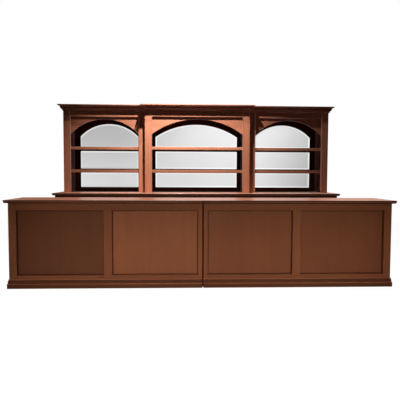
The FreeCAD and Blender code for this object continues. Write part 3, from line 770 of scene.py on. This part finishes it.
def build_face_frame(side, counter):
    """Stiles and rails of a counter's face."""
    joinery, sizes = settings("joinery"), settings(counter)
    low, high = face_frame(counter)
    (first, second), _, _ = module_bays(counter)
    front, back = low.y, high.y
    bottom, top = sizes.bottom_rail, high.z - sizes.top_rail
    chamfer = joinery.seam_chamfer
    arris = low.x + chamfer + JOINT_EDGE
    plan = [
        (low.x + chamfer, front), (arris, front), (arris + 2 * JOINT_EDGE, front),
        (first[0], front), (first[0], back), (low.x, back), (low.x, front + chamfer),
    ]
    bench = Bench("%s_face_frame_%s" % (counter, side))
    bench.prism([(x, y, 0) for x, y in plan], (0, 0, high.z), ALONG_Z)
    bench.stain_joint(low.x + chamfer)
    # painted highlight on the arris beside the joint
    bench.stain(ARRIS_HIGHLIGHT_TONE, lambda v: abs(v.co.x - arris) < NEAR)
    bench.board((second[1], front, 0), (high.x, back, high.z), ALONG_Z)
    bench.board((first[0], front, top), (second[1], back, high.z), ALONG_X)
    bench.board((first[0], front, 0), (second[1], back, bottom), ALONG_X)
    bench.board((first[1], front, bottom), (second[0], back, top), ALONG_Z)
    if counter == "base":
        # the top arris lies in the shade of the counter's top
        bench.stain_bands(((0, 1, PAINTED_SHADE_TONE),), high.z - joinery.eased_edge, joinery.eased_edge)
    bench.mirror_left()
    bench.deliver("cabinet_mahogany", slot="mahogany")


def sunk_panel(bench, low, high, lap):
    """A flat panel whose face is painted darker round its rim: painted shade in the corners of its
    recess.
    """
    joinery = settings("joinery")
    bench.cube(low, high)
    bench.ease_fresh()
    bench.bm.normal_update()
    fronts = [f for f in bench.fresh_faces() if f.normal.y < -0.99]
    front = max(fronts, key=lambda f: f.calc_area())
    for width in (lap - joinery.eased_edge, joinery.rim, joinery.rim / 3):
        bench.inset(front, width)
    rim = [v for v in bench.fresh() if abs(v.co.y - low[1]) < NEAR and v not in front.verts]
    bench.claim(ALONG_Z)
    bench.stain(PAINTED_SHADE_TONE, lambda v: v in rim)


def build_face_panels(side):
    """The front bar's sunk panels."""
    low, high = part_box("bar_face_panels_right")
    bays, _, _ = module_bays("bar")
    lap = bays[0][0] - low.x
    bench = Bench("bar_face_panels_" + side)
    # the panels' tones are painted light, brightest by the joint of the two modules
    for (x0, x1), tone in zip(bays, PANEL_LIGHT_TONES[side]):
        bench.shade = tone
        sunk_panel(bench, (x0 - lap, low.y, low.z), (x1 + lap, high.y, high.z), lap)
    bench.mirror_left()
    bench.deliver("cabinet_mahogany", slot="mahogany")


def build_plinth(side, counter):
    """Skirting and base moulding, mitred at the outer corner."""
    joinery = settings("joinery")
    low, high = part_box(counter + "_plinth_right")
    face = face_frame(counter)[0].y
    foot, cap, proud = joinery.skirting, high.z - joinery.skirting, face - low.y
    end = high.x - proud
    path = [(low.x, face), (low.x + JOINT_EDGE, face), (end, face), (end, high.y)]
    # painted shade: the plinth is darker; its bands are painted highlights on top arrises and
    # painted shade in the cap's hollow
    bench = Bench("%s_plinth_%s" % (counter, side), PLINTH_SHADE_TONE)
    bench.moulding(profile_points(SKIRTING, proud, foot), path, 0)
    bench.stain_bands(SKIRTING_BANDS, 0, foot)
    bench.moulding(profile_points(CAP, joinery.cap_proud, cap), path, foot)
    bench.stain_bands(CAP_BANDS, foot, cap)
    bench.stain_joint(low.x)
    bench.mirror_left()
    bench.deliver("cabinet_mahogany", slot="mahogany")


def shelf_bearers(bench, x0, x1, front, back, top):
    """Battens under a loose shelf."""
    joinery = settings("joinery")
    wide, foot = joinery.bearer, top - joinery.bearer_height
    bench.board((x0, front, foot), (x0 + wide, back, top), ALONG_Y)
    bench.board((x1 - wide, front, foot), (x1, back, top), ALONG_Y)


def build_bar_carcass(side):
    """End panel, uprights, floor, toe board, rails and bearers of the front bar."""
    joinery, sizes = settings("joinery"), settings("bar")
    low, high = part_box("bar_carcass_right")
    _, cells, middle = module_bays("bar")
    front, back = face_frame("bar")[1].y, high.y
    t, rail = joinery.board, high.z - joinery.rear_rail
    under, toe = sizes.floor_height - t, back - sizes.toe_setback
    bench = Bench("bar_carcass_" + side)
    bench.board((high.x - t, low.y, 0), high, ALONG_Z)
    # the seam panel takes the painted shade mahogany
    bench.inside = True
    bench.board((0, front, 0), (t, back, high.z), ALONG_Z)
    bench.inside = False
    bench.board((middle - t / 2, front, 0), (middle + t / 2, back, high.z), ALONG_Z)
    for x0, x1 in cells:
        bench.board((x0, front, under), (x1, back, sizes.floor_height), ALONG_X)
        bench.board((x0, toe - t, 0), (x1, toe, under), ALONG_X)
        bench.board((x0, back - t, rail), (x1, back, high.z), ALONG_X)
        shelf_front = front + joinery.flush_panel
        shelf_bearers(bench, x0, x1, shelf_front, back - t, sizes.shelf_height)
    bench.mirror_left()
    bench.deliver("cabinet_mahogany", "inside_mahogany", slot="carcass_wood")


def build_base_carcass(side):
    """Uprights, grooved floors, rails and bearers of the back bar base."""
    joinery, sizes = settings("joinery"), settings("base")
    low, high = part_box("base_carcass_right")
    _, cells, middle = module_bays("base")
    front, back = face_frame("base")[1].y, high.y - joinery.flush_panel
    t, rail = joinery.board, high.z - joinery.rear_rail
    floor = sizes.bottom_rail
    outline = grooved_outline(front, back, floor - t, floor, sizes.track_depth, True)
    shelf_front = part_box("door_guides")[1].y + sizes.shelf_setback
    bench = Bench("base_carcass_" + side)
    bench.board((high.x - t, low.y, 0), high, ALONG_Z)
    bench.board((0, front, 0), (t, back, high.z), ALONG_Z)
    bench.board((middle - t / 2, front, 0), (middle + t / 2, back, high.z), ALONG_Z)
    for x0, x1 in cells:
        bench.prism([(x0, y, z) for y, z in outline], (x1 - x0, 0, 0), ALONG_X, CRISP_EDGE)
        bench.board((x0, back - t, 0), (x1, back, floor - t), ALONG_X)
        bench.board((x0, back - t, rail), (x1, back, high.z), ALONG_X)
        shelf_bearers(bench, x0, x1, shelf_front, back - t, sizes.shelf_height)
    bench.mirror_left()
    bench.deliver("cabinet_mahogany", slot="carcass_wood")


def build_loose_shelves(counter):
    """Loose shelves of both modules, in one piece list."""
    low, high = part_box(counter + "_shelves")
    _, cells, _ = module_bays(counter)
    play = cells[1][1] - high.x
    bench = Bench(counter + "_shelves")
    for sign in (1, -1):
        for x0, x1 in cells:
            start, end = sorted((sign * (x0 + play), sign * (x1 - play)))
            bench.board((start, low.y, low.z), (end, high.y, high.z), ALONG_X, SHELF_EDGE)
    bench.deliver("inside_mahogany", slot="carcass_wood")


def grooved_outline(front, back, low, high, depth, grooves_up):
    """Cross-section of a board with the doors' two grooves."""
    sizes = settings("base")
    half = sizes.runner / 2 + sizes.track_play
    face, other = (high, low) if grooves_up else (low, high)
    floor = face - depth if grooves_up else face + depth
    points = [(front, face)]
    track = face_frame("base")[1].y + sizes.running_gap / 2 + sizes.door / 2
    for y in (track, track + sizes.door + sizes.running_gap):
        points += [(y - half, face), (y - half, floor), (y + half, floor), (y + half, face)]
    return points + [(back, face), (back, other), (front, other)]


def build_door_guides():
    """Top guides with deep grooves, so that the doors lift in and out."""
    low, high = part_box("door_guides")
    _, cells, _ = module_bays("base")
    depth = settings("base").guide_depth
    outline = grooved_outline(low.y, high.y, low.z, high.z, depth, False)
    bench = Bench("door_guides")
    for sign in (1, -1):
        for x0, x1 in cells:
            start, run = sign * x0, sign * x1 - sign * x0
            bench.prism([(start, y, z) for y, z in outline], (run, 0, 0), ALONG_X, CRISP_EDGE)
    bench.deliver("inside_mahogany", slot="carcass_wood")


def build_back_panels():
    """Backing boards behind the base."""
    low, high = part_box("base_back_panels")
    bench = Bench("base_back_panels")
    for x0, x1 in ((low.x, 0), (0, high.x)):
        bench.board((x0, low.y, 0), (x1, high.y, high.z), ALONG_X, THIN_EDGE)
    bench.deliver("sealed_backing_board", slot="backing_board")


# ---------------------------------------------------------------- sliding doors
def cut_pocket(bench, low, high):
    """Sink a rectangular pocket into the front of the newest, unclaimed block."""
    for axis in (ALONG_X, ALONG_Z):
        for limit in (low[axis], high[axis]):
            fresh = bench.fresh()
            edges = {e for v in fresh for e in v.link_edges}
            normal = Vector((0, 0, 0))
            normal[axis] = 1
            bmesh.ops.bisect_plane(
                bench.bm, geom=fresh + list(edges) + bench.fresh_faces(),
                plane_co=normal * limit, plane_no=normal,
            )
    inside = []
    for face in bench.fresh_faces():
        middle = face.calc_center_median()
        across, up = low[0] < middle.x < high[0], low[2] < middle.z < high[2]
        if across and up and abs(middle.y - low[1]) < NEAR:
            inside.append(face)
    bench.sink(inside, high[1] - low[1])


def build_door(side, number):
    """One framed door with its runners."""
    sizes = settings("base")
    low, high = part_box("door_right_%d" % number)
    pull_low, pull_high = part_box("door_pull_right_%d" % number)
    frame_top = face_frame("base")[1].z
    bay = module_bays("base")[0][(number - 1) // 2]
    # odd doors close to the left of their bay, even ones to the right
    left, right = low.x + sizes.door_stile, high.x - sizes.door_stile
    if number % 2:
        left = bay[0] + sizes.door_stile
    else:
        right = bay[1] - sizes.door_stile
    z0, z1 = sizes.bottom_rail + sizes.foot_gap, frame_top - sizes.guide - sizes.foot_gap
    rail_low, rail_high = z0 + sizes.door_rail, frame_top - sizes.top_rail - sizes.door_stile
    face, lip = low.y + sizes.panel_recess, sizes.pull_lip
    bench = Bench("door_%s_%d" % (side, number))
    for x0, x1 in ((low.x, left), (right, high.x)):
        bench.cube((x0, low.y, z0), (x1, high.y, z1))
        if x0 < pull_low.x < x1:
            cut_pocket(
                bench, (pull_low.x + lip, low.y, pull_low.z + lip),
                (pull_high.x - lip, pull_high.y, pull_high.z - lip),
            )
        bench.claim(ALONG_Z)
    bench.board((left, low.y, z0), (right, high.y, rail_low), ALONG_X)
    bench.board((left, low.y, rail_high), (right, high.y, z1), ALONG_X)
    panel_back = face + sizes.door_panel
    bench.board((left, face, rail_low), (right, panel_back, rail_high), ALONG_Z, CRISP_EDGE)
    middle, half = (low.y + high.y) / 2, sizes.runner / 2
    for foot, head in ((low.z, z0), (z1, high.z)):
        corners = (low.x, middle - half, foot), (high.x, middle + half, head)
        bench.board(*corners, ALONG_X, THIN_EDGE)
    bench.mirror_left()
    body = "sliding_door_%s_%d" % (side, number)
    bench.deliver("cabinet_mahogany", slot="mahogany", body=body)


def build_pull(side, number):
    """Pressed brass finger pull with rounded corners and two screws in its floor."""
    sizes = settings("base")
    low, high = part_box("door_pull_right_%d" % number)
    door_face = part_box("door_right_%d" % number)[0].y
    bench = Bench("door_pull_%s_%d" % (side, number))
    faces = bench.bm.faces
    bench.cube(low, (high.x, door_face, high.z))
    upright = [e for e in bench.bm.edges if abs(e.verts[0].co.y - e.verts[1].co.y) > NEAR]
    bench.round_over(upright, sizes.pull_corner, 5)
    front = min(faces, key=lambda f: f.calc_center_median().y)
    back = max(faces, key=lambda f: f.calc_center_median().y)
    floor = high.y - low.y - sizes.pull_wall
    bench.inset(back, sizes.pull_lip)
    bench.sink([back], high.y - door_face)
    bench.inset(front, sizes.pull_lip + sizes.pull_wall)
    bench.sink([front], floor)
    bench.claim(ALONG_Z)
    x, y = (low.x + high.x) / 2, low.y + floor - sizes.screw_rise / 2
    for z in (low.z + sizes.screw_inset, high.z - sizes.screw_inset):
        bmesh.ops.create_cone(
            bench.bm, cap_ends=True, segments=20, radius1=sizes.screw_head * 0.8,
            radius2=sizes.screw_head, depth=sizes.screw_rise,
            matrix=turned((x, y, z), (math.pi / 2, "X")),
        )
        bench.claim(ALONG_Z)
    bench.mirror_left()
    bench.deliver("satin_brass", slot="brass", body="sliding_door_%s_%d" % (side, number))


# ---------------------------------------------------------------- hutches
def hutch_layout(unit):
    """Places that the pieces of one hutch share, from its carcass and frames."""
    sizes, t = settings("hutch"), settings("joinery").board
    low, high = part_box("hutch_%s_carcass" % unit)
    frame_low, frame_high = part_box("hutch_%s_face_frame" % unit)
    mirror_low, mirror_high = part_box("hutch_%s_mirror_frame" % unit)
    margin = sizes.centre_margin if unit == "centre" else sizes.side_margin
    open0, open1 = low.x + t + sizes.stile, high.x - t - sizes.stile
    foot = frame_low.z
    return SimpleNamespace(
        low=low, high=high, t=t, foot=foot, face=frame_low.y, inner=frame_high.y,
        mirror_face=mirror_low.y, glass=mirror_high.y, roof=high.z - t, open=(open0, open1),
        wall=(low.x + sizes.pilaster, high.x - sizes.pilaster),
        sight=(open0 + margin, open1 - margin),
        shelf_tops=(foot + sizes.lower_shelf, foot + sizes.upper_shelf),
    )


def beaded_outline(outer, inner, face, back):
    """Plan of a stile with a quirked bead along its inner arris."""
    sizes = settings("hutch")
    r, s = sizes.bead, 1 if inner > outer else -1
    corner = r * (1 - math.sqrt(0.5))
    bead_end = inner - s * 2 * r
    quirk_end = bead_end - s * sizes.quirk
    return profile_points([
        (outer, back), (inner, back), (inner, face + r),
        ((inner - s * corner, face + corner), (inner - s * r, face)),
        ((bead_end + s * corner, face + corner), (bead_end, face + r)),
        (quirk_end, face + r), (quirk_end, face), (outer, face),
    ])


def build_hutch_frame(unit):
    """Beaded stiles and the deep rail of a hutch."""
    at = hutch_layout(unit)
    top = at.high.z
    bench = Bench("hutch_%s_face_frame" % unit)
    stiles = ((at.low.x + at.t, at.open[0]), (at.high.x - at.t, at.open[1]))
    for outer, inner in stiles:
        plan = beaded_outline(outer, inner, at.face, at.inner)
        bench.prism([(x, y, at.foot) for x, y in plan], (0, 0, top - at.foot), ALONG_Z, 0)
    rail = top - settings("hutch").rail
    bench.board((at.open[0], at.face, rail), (at.open[1], at.inner, top), ALONG_X)
    bench.deliver("cabinet_mahogany", slot="mahogany")


def build_hutch_carcass(unit):
    """Outer sides, linings, roof, back and packing of a hutch."""
    sizes, at = settings("hutch"), hutch_layout(unit)
    low, high, t, foot, roof, inner = at.low, at.high, at.t, at.foot, at.roof, at.inner
    back = at.glass + sizes.mirror_thickness
    wall0, wall1 = at.wall
    line, tall = sizes.lining, sizes.packing
    bench = Bench("hutch_%s_carcass" % unit)
    bench.board((low.x, low.y, foot), (low.x + t, high.y, high.z), ALONG_Z)
    bench.board((high.x - t, low.y, foot), high, ALONG_Z)
    # the roof, back, linings and packing take the painted shade mahogany
    bench.inside = True
    bench.board((low.x + t, inner, roof), (high.x - t, high.y, high.z), ALONG_X)
    bench.board((low.x + t, back, foot), (high.x - t, high.y, roof), ALONG_Z)
    bench.board((wall0 - line, inner, foot), (wall0, back, roof), ALONG_Z)
    bench.board((wall1, inner, foot), (wall1 + line, back, roof), ALONG_Z)
    for z in (foot, (foot + roof - tall) / 2, roof - tall):
        bench.board((low.x + t, inner, z), (wall0 - line, back, z + tall), ALONG_Y)
        bench.board((wall1 + line, inner, z), (high.x - t, back, z + tall), ALONG_Y)
    bench.deliver("cabinet_mahogany", "inside_mahogany", slot="carcass_wood")


def build_hutch_shelves(unit):
    """Shelf boards with their deeper, rounded front lipping."""
    sizes, at = settings("hutch"), hutch_layout(unit)
    wall0, wall1 = at.wall
    front, thick = at.inner + sizes.lipping, settings("joinery").shelf
    bench = Bench("hutch_%s_shelves" % unit)
    # painted shade: the lower shelf is darker, and boards behind the lipping take the painted
    # shade mahogany
    for top, tone in zip(at.shelf_tops, (LOWER_SHELF_SHADE_TONE, 1.0)):
        bench.shade = tone
        bench.inside = True
        bench.board((wall0, front, top - thick), (wall1, at.mirror_face, top), ALONG_X)
        bench.inside = False
        foot = top - sizes.lipping_height
        bench.board((wall0, at.inner, foot), (wall1, front, top), ALONG_X, LIPPING_EDGE)
    bench.deliver("cabinet_mahogany", "inside_mahogany", slot="mahogany")


def arched_board(bench, low, high, half, rise):
    """A board with a segmental arch cut up into its foot."""
    radius = (half**2 + rise**2) / (2 * rise)
    centre = Vector(((low.x + high.x) / 2, low.y, low.z + rise - radius))
    start = (centre.x - half, low.y, low.z)
    sweep = 2 * math.asin(half / radius)
    arch = bench.arc(start, centre, sweep, settings("hutch").arch_steps)
    head = [(high.x, low.y, high.z), (low.x, low.y, high.z)]
    outline = [low, *arch, (high.x, low.y, low.z), *head]
    bench.prism(outline, (0, high.y - low.y, 0), ALONG_X)


def build_valance(unit):
    """Arched board behind a hutch's rail."""
    at = hutch_layout(unit)
    bench = Bench("hutch_%s_valance" % unit)
    half = (at.open[1] - at.open[0]) / 2
    arched_board(bench, *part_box(bench.node), half, settings("hutch").arch_rise)
    bench.deliver("cabinet_mahogany", slot="mahogany")


def build_mirror_frame(unit):
    """Frame that holds a hutch's three panes."""
    sizes, at = settings("hutch"), hutch_layout(unit)
    sight0, sight1 = at.sight
    spring = at.foot + sizes.mirror_spring
    bench = Bench("hutch_%s_mirror_frame" % unit)
    low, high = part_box(bench.node)
    bench.board((low.x, low.y, at.foot), (sight0, high.y, spring), ALONG_Z)
    bench.board((sight1, low.y, at.foot), (high.x, high.y, spring), ALONG_Z)
    rails = [(at.foot, at.foot + sizes.mirror_foot)]
    rails += [(top - sizes.lipping_height, top + sizes.rail_rise) for top in at.shelf_tops]
    for foot, top in rails:
        bench.board((sight0, low.y, foot), (sight1, high.y, top), ALONG_X)
    low.z = spring
    arched_board(bench, low, high, (sight1 - sight0) / 2, sizes.mirror_rise)
    bench.deliver("inside_mahogany", slot="mahogany")


def mirror_pane(bench, x0, x1, foot, top, back, radius):
    """A pane with a ground bevel, arched where it has a radius.

    Its face is inset, and then the middle comes forward.
    """
    sizes = settings("hutch")
    y = back - sizes.mirror_edge
    corners = [(x0, y, foot), (x1, y, foot)]
    if radius:
        half = (x1 - x0) / 2
        centre = Vector(((x0 + x1) / 2, y, top - radius))
        shoulder = (x1, y, centre.z + math.sqrt(radius**2 - half**2))
        sweep = 2 * math.asin(half / radius)
        corners += bench.arc(shoulder, centre, -sweep, sizes.arch_steps)
    else:
        corners += [(x1, y, top), (x0, y, top)]
    front = bench.bm.faces.new([bench.bm.verts.new(p) for p in corners])
    bench.extrude([front], (0, sizes.mirror_edge, 0), keep=True)
    bench.inset(front, sizes.mirror_bevel + sizes.mirror_lap)
    forward = (0, sizes.mirror_edge - sizes.mirror_thickness, 0)
    bmesh.ops.translate(bench.bm, verts=list(front.verts), vec=forward)
    bench.face_outwards()
    bench.claim(ALONG_Z)


def build_mirrors(unit):
    """Three bevelled panes of a hutch."""
    sizes, at = settings("hutch"), hutch_layout(unit)
    bench = Bench("hutch_%s_mirrors" % unit)
    low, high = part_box(bench.node)
    sight0, sight1 = at.sight
    lap, half = sight0 - low.x, (sight1 - sight0) / 2
    radius = (half**2 + sizes.mirror_rise**2) / (2 * sizes.mirror_rise) + lap
    feet = [at.foot + sizes.mirror_foot] + [z + sizes.rail_rise for z in at.shelf_tops]
    heads = [z - sizes.lipping_height + lap for z in at.shelf_tops] + [high.z]
    for foot, top, bend in zip(feet, heads, (None, None, radius)):
        mirror_pane(bench, sight0 - lap, sight1 + lap, foot - lap, top, high.y, bend)
    bench.deliver("silvered_mirror", slot="mirror_glass", smooth_angle=2)


def build_crown(unit):
    """Crown moulding, mitred round the unit's corners and into its neighbours'."""
    # painted shade: the crown is darker than the middle tone of the wood
    bench = Bench("hutch_%s_crown" % unit, CROWN_SHADE_TONE)
    low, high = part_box(bench.node)
    middle_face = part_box("hutch_centre_face_frame")[0].y
    side_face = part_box("hutch_right_face_frame")[0].y
    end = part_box("hutch_right_carcass")[1].x
    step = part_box("hutch_centre_carcass")[1].x
    proud = side_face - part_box("hutch_right_crown")[0].y
    if unit == "centre":
        path = [
            (-step - 1, side_face), (-step, side_face), (-step, middle_face),
            (step, middle_face), (step, side_face), (step + 1, side_face),
        ]
    else:
        path = [(step, middle_face), (step, side_face), (end, side_face), (end, high.y)]
    neighbours = (1, 1) if unit == "centre" else (1, 0)
    bench.moulding(profile_points(CROWN, proud, high.z - low.z), path, low.z, neighbours)
    bench.mirror_left()
    bench.deliver("cabinet_mahogany", slot="mahogany")


# ---------------------------------------------------------------- studio
def lay_floor(studio):
    """A pale floor that keeps the shadow and reads as white."""
    bm = bmesh.new()
    bmesh.ops.create_circle(bm, cap_ends=True, segments=96, radius=FLOOR_RADIUS)
    mesh = bpy.data.meshes.new("studio_floor")
    bm.to_mesh(mesh)
    bm.free()
    floor = in_scene("studio_floor", mesh)
    mesh.materials.append(bpy.data.materials.new("pale_floor"))
    r = Recipe(mesh.materials[0])
    rays = r.node("LightPath").outputs
    seen = r.maths("MAXIMUM", rays["Is Camera Ray"], rays["Is Singular Ray"])
    tone = studio.floor_tone
    paint = r.node("BsdfDiffuse", {"Color": (tone, tone * 0.98, tone * 0.95)})
    strength = r.maths("MULTIPLY", seen, FLOOR_WHITE)
    white = r.node("Emission", {"Color": (1, 1, 1), "Strength": strength})
    both = r.node("AddShader", {0: paint.outputs[0], 1: white.outputs[0]})
    r.plug(r.surface, both.outputs[0])


def light_room(studio):
    """An even room light, and a white backdrop that a lens, glass and polish see."""
    world = bpy.data.worlds.new("studio")
    bpy.context.scene.world = world
    r = Recipe(world, "OutputWorld")
    rays = r.node("LightPath").outputs
    lens, sharp = rays["Is Camera Ray"], rays["Is Singular Ray"]
    glossy, through = rays["Is Glossy Ray"], rays["Is Transmission Ray"]
    view = r.node("TexCoord").outputs["Generated"]
    x, y, z = r.node("SeparateXYZ", {0: view}).outputs

    def part(name, direction):
        return r.ramp(direction, *ROOM[name])

    # the far end of the room that the mirrors face: brighter to the right and low down
    low = r.maths("MULTIPLY", part("low", z), part("low_across", x))
    far = r.maths("ADD", part("across", x), part("past", x), low)
    # white soft boxes beside and over it
    ahead = r.maths("MAXIMUM", far, part("beside", r.maths("ABSOLUTE", x)), part("over", z))
    # satin wood sees all this dimly, and nothing dims it for a mirror
    under = r.maths("MAXIMUM", part("under", z), sharp)
    share = r.maths("MAXIMUM", sharp, SATIN_SHARE)
    ahead = r.maths("MULTIPLY", ahead, under, share, part("front", y))
    # past the ends of the back bar the counter tops see the white backdrop
    aside = r.maths("ABSOLUTE", r.maths("SUBTRACT", x, ROOM_MIDDLE))
    behind = r.maths("MULTIPLY", part("backdrop", aside), part("rear", y))
    polish = r.maths("MULTIPLY", glossy, r.maths("ADD", ahead, behind))
    satin = r.maths("MULTIPLY", glossy, r.maths("SUBTRACT", 1.0, sharp))
    white = r.node("Background", {
        "Color": r.mix(satin, (1, 1, 1), SATIN_COLOUR),
        "Strength": r.maths("MAXIMUM", polish, lens, through),
    })
    soft = r.node("Background", {"Color": (1.0, 0.98, 0.96), "Strength": studio.fill_level})
    seen = r.maths("MAXIMUM", lens, glossy, through)
    r.plug(r.surface, r.node("MixShader", {
        "Fac": seen, 1: soft.outputs[0], 2: white.outputs[0],
    }).outputs[0])


def hang_lamp(name, colour, watts, beam, point, tilt, axis="X"):
    """An area lamp, without its shape."""
    lamp = bpy.data.lights.new(name + "_lamp", "AREA")
    lamp.color = colour
    lamp.energy = watts
    lamp.spread = beam
    hung = in_scene(name + "_lamp", lamp)
    hung.matrix_world = turned(point, (tilt, axis))
    return hung


def hang_lamps(studio):
    """Two small lamps over the aisle, and soft ones in front, behind and at both ends."""
    for name, group in (("hutch", "key"), ("aisle", "aisle")):
        watts, beam, point, tilt = (
            getattr(studio, group + part) for part in ("_power", "_beam", "_place", "_tilt")
        )
        small = hang_lamp(name, LAMP_COLOUR, watts, beam, point, tilt).data
        small.shape = "DISK"
        small.size = studio.lamp_size
    for name, (point, tilt, axis, long) in SOFT_LAMPS.items():
        watts = getattr(studio, name + "_power")
        beam, tilt = math.radians(SOFT_BEAM), math.radians(tilt)
        hung = hang_lamp(name, SOFT_COLOUR, watts, beam, point, tilt, axis)
        soft = hung.data
        soft.shape = "RECTANGLE"
        soft.size, soft.size_y = (long, SOFT_WIDTH) if axis == "X" else (SOFT_WIDTH, long)
        hung.visible_camera = False
        hung.visible_glossy = False


def place_camera(studio):
    """Camera in front of the bar, a little above the counters."""
    data = bpy.data.cameras.new("bar_camera")
    data.lens = studio.focal
    data.sensor_width = 36.0
    data.shift_y = studio.frame_shift
    camera = in_scene("bar_camera", data)
    camera.matrix_world = turned(
        studio.camera, (-studio.yaw, "Z"), (math.pi / 2 - studio.pitch, "X"), (studio.roll, "Z"),
    )
    bpy.context.scene.camera = camera


# ---------------------------------------------------------------- operators
def make(jobs, *choices):
    """Do the jobs for each combination of the choices."""
    for choice in product(*choices):
        for job in jobs:
            job(*choice)
    return {"FINISHED"}


class MakeTops(Operator):
    """Make the moulded tops of both counters"""

    bl_idname = "bar.make_tops"
    bl_label = "Counter tops"

    def execute(self, context):
        return make([build_top], SIDES, COUNTERS)


class MakeFaceFrames(Operator):
    """Make the stiles and rails of both counters"""

    bl_idname = "bar.make_face_frames"
    bl_label = "Face frames"

    def execute(self, context):
        return make([build_face_frame], SIDES, COUNTERS)


class MakeFacePanels(Operator):
    """Make the front bar's sunk panels"""

    bl_idname = "bar.make_face_panels"
    bl_label = "Face panels"

    def execute(self, context):
        return make([build_face_panels], SIDES)


class MakePlinths(Operator):
    """Make the skirtings and base mouldings"""

    bl_idname = "bar.make_plinths"
    bl_label = "Plinths"

    def execute(self, context):
        return make([build_plinth], SIDES, COUNTERS)


class MakeCarcasses(Operator):
    """Make the counters' carcasses, shelves, guides and backs"""

    bl_idname = "bar.make_carcasses"
    bl_label = "Carcasses and shelves"

    def execute(self, context):
        make([build_bar_carcass, build_base_carcass], SIDES)
        make([build_loose_shelves], COUNTERS)
        return make([build_door_guides, build_back_panels])


class MakeSlidingDoors(Operator):
    """Make the cupboard doors and their finger pulls"""

    bl_idname = "bar.make_sliding_doors"
    bl_label = "Sliding doors"

    def execute(self, context):
        return make([build_door, build_pull], SIDES, DOORS)


class MakeHutchFrames(Operator):
    """Make the hutches' beaded face frames and arched valances"""

    bl_idname = "bar.make_hutch_frames"
    bl_label = "Hutch frames and valances"

    def execute(self, context):
        return make([build_hutch_frame, build_valance], UNITS)


class MakeHutchCarcasses(Operator):
    """Make the hutches' sides, roofs, backs and shelves"""

    bl_idname = "bar.make_hutch_carcasses"
    bl_label = "Hutch carcasses and shelves"

    def execute(self, context):
        return make([build_hutch_carcass, build_hutch_shelves], UNITS)


class MakeMirrors(Operator):
    """Make the bevelled mirrors and their frames"""

    bl_idname = "bar.make_mirrors"
    bl_label = "Mirrors"

    def execute(self, context):
        return make([build_mirror_frame, build_mirrors], UNITS)


class MakeCrowns(Operator):
    """Make the crown mouldings"""

    bl_idname = "bar.make_crowns"
    bl_label = "Crowns"

    def execute(self, context):
        return make([build_crown], UNITS)


class SetStage(Operator):
    """Lay the pale floor, hang the lamps and place the camera"""

    bl_idname = "bar.set_stage"
    bl_label = "Studio"

    def execute(self, context):
        for piece in bpy.data.objects:
            # the mirrors show the room and not the hutches' own insides
            if piece.name.startswith("finished_hutch_") and not piece.name.endswith("_mirrors"):
                piece.visible_glossy = False
        context.scene.view_settings.view_transform = "Standard"
        return make([lay_floor, light_room, hang_lamps, place_camera], [settings("studio")])


OPERATORS = (
    MakeTops, MakeFaceFrames, MakeFacePanels, MakePlinths, MakeCarcasses, MakeSlidingDoors,
    MakeHutchFrames, MakeHutchCarcasses, MakeMirrors, MakeCrowns, SetStage,
)


class BarPanel(Panel):
    """Lists the pieces of the bar and their settings"""

    bl_idname = "VIEW3D_PT_bar"
    bl_label = "Bar"
    bl_space_type = "VIEW_3D"
    bl_region_type = "UI"
    bl_category = "Bar"

    def draw(self, context):
        layout = self.layout
        for operator in OPERATORS:
            layout.operator(operator.bl_idname, text=operator.bl_label)
        for name in SETTINGS:
            box = layout.box()
            group = settings(name)
            for key in group.bl_rna.properties.keys():
                if key not in ("rna_type", "name"):
                    box.prop(group, key)


CLASSES = (*SETTINGS.values(), *OPERATORS, BarPanel)


def register():
    for thing in CLASSES:
        bpy.utils.register_class(thing)
    for name, group in SETTINGS.items():
        setattr(bpy.types.Scene, "counter_" + name, PointerProperty(type=group))


def unregister():
    for name in SETTINGS:
        delattr(bpy.types.Scene, "counter_" + name)
    for thing in reversed(CLASSES):
        bpy.utils.unregister_class(thing)


def main():
    register()
    for operator in OPERATORS:
        group, name = operator.bl_idname.split(".")
        getattr(getattr(bpy.ops, group), name)()


if __name__ == "__main__":
    main()
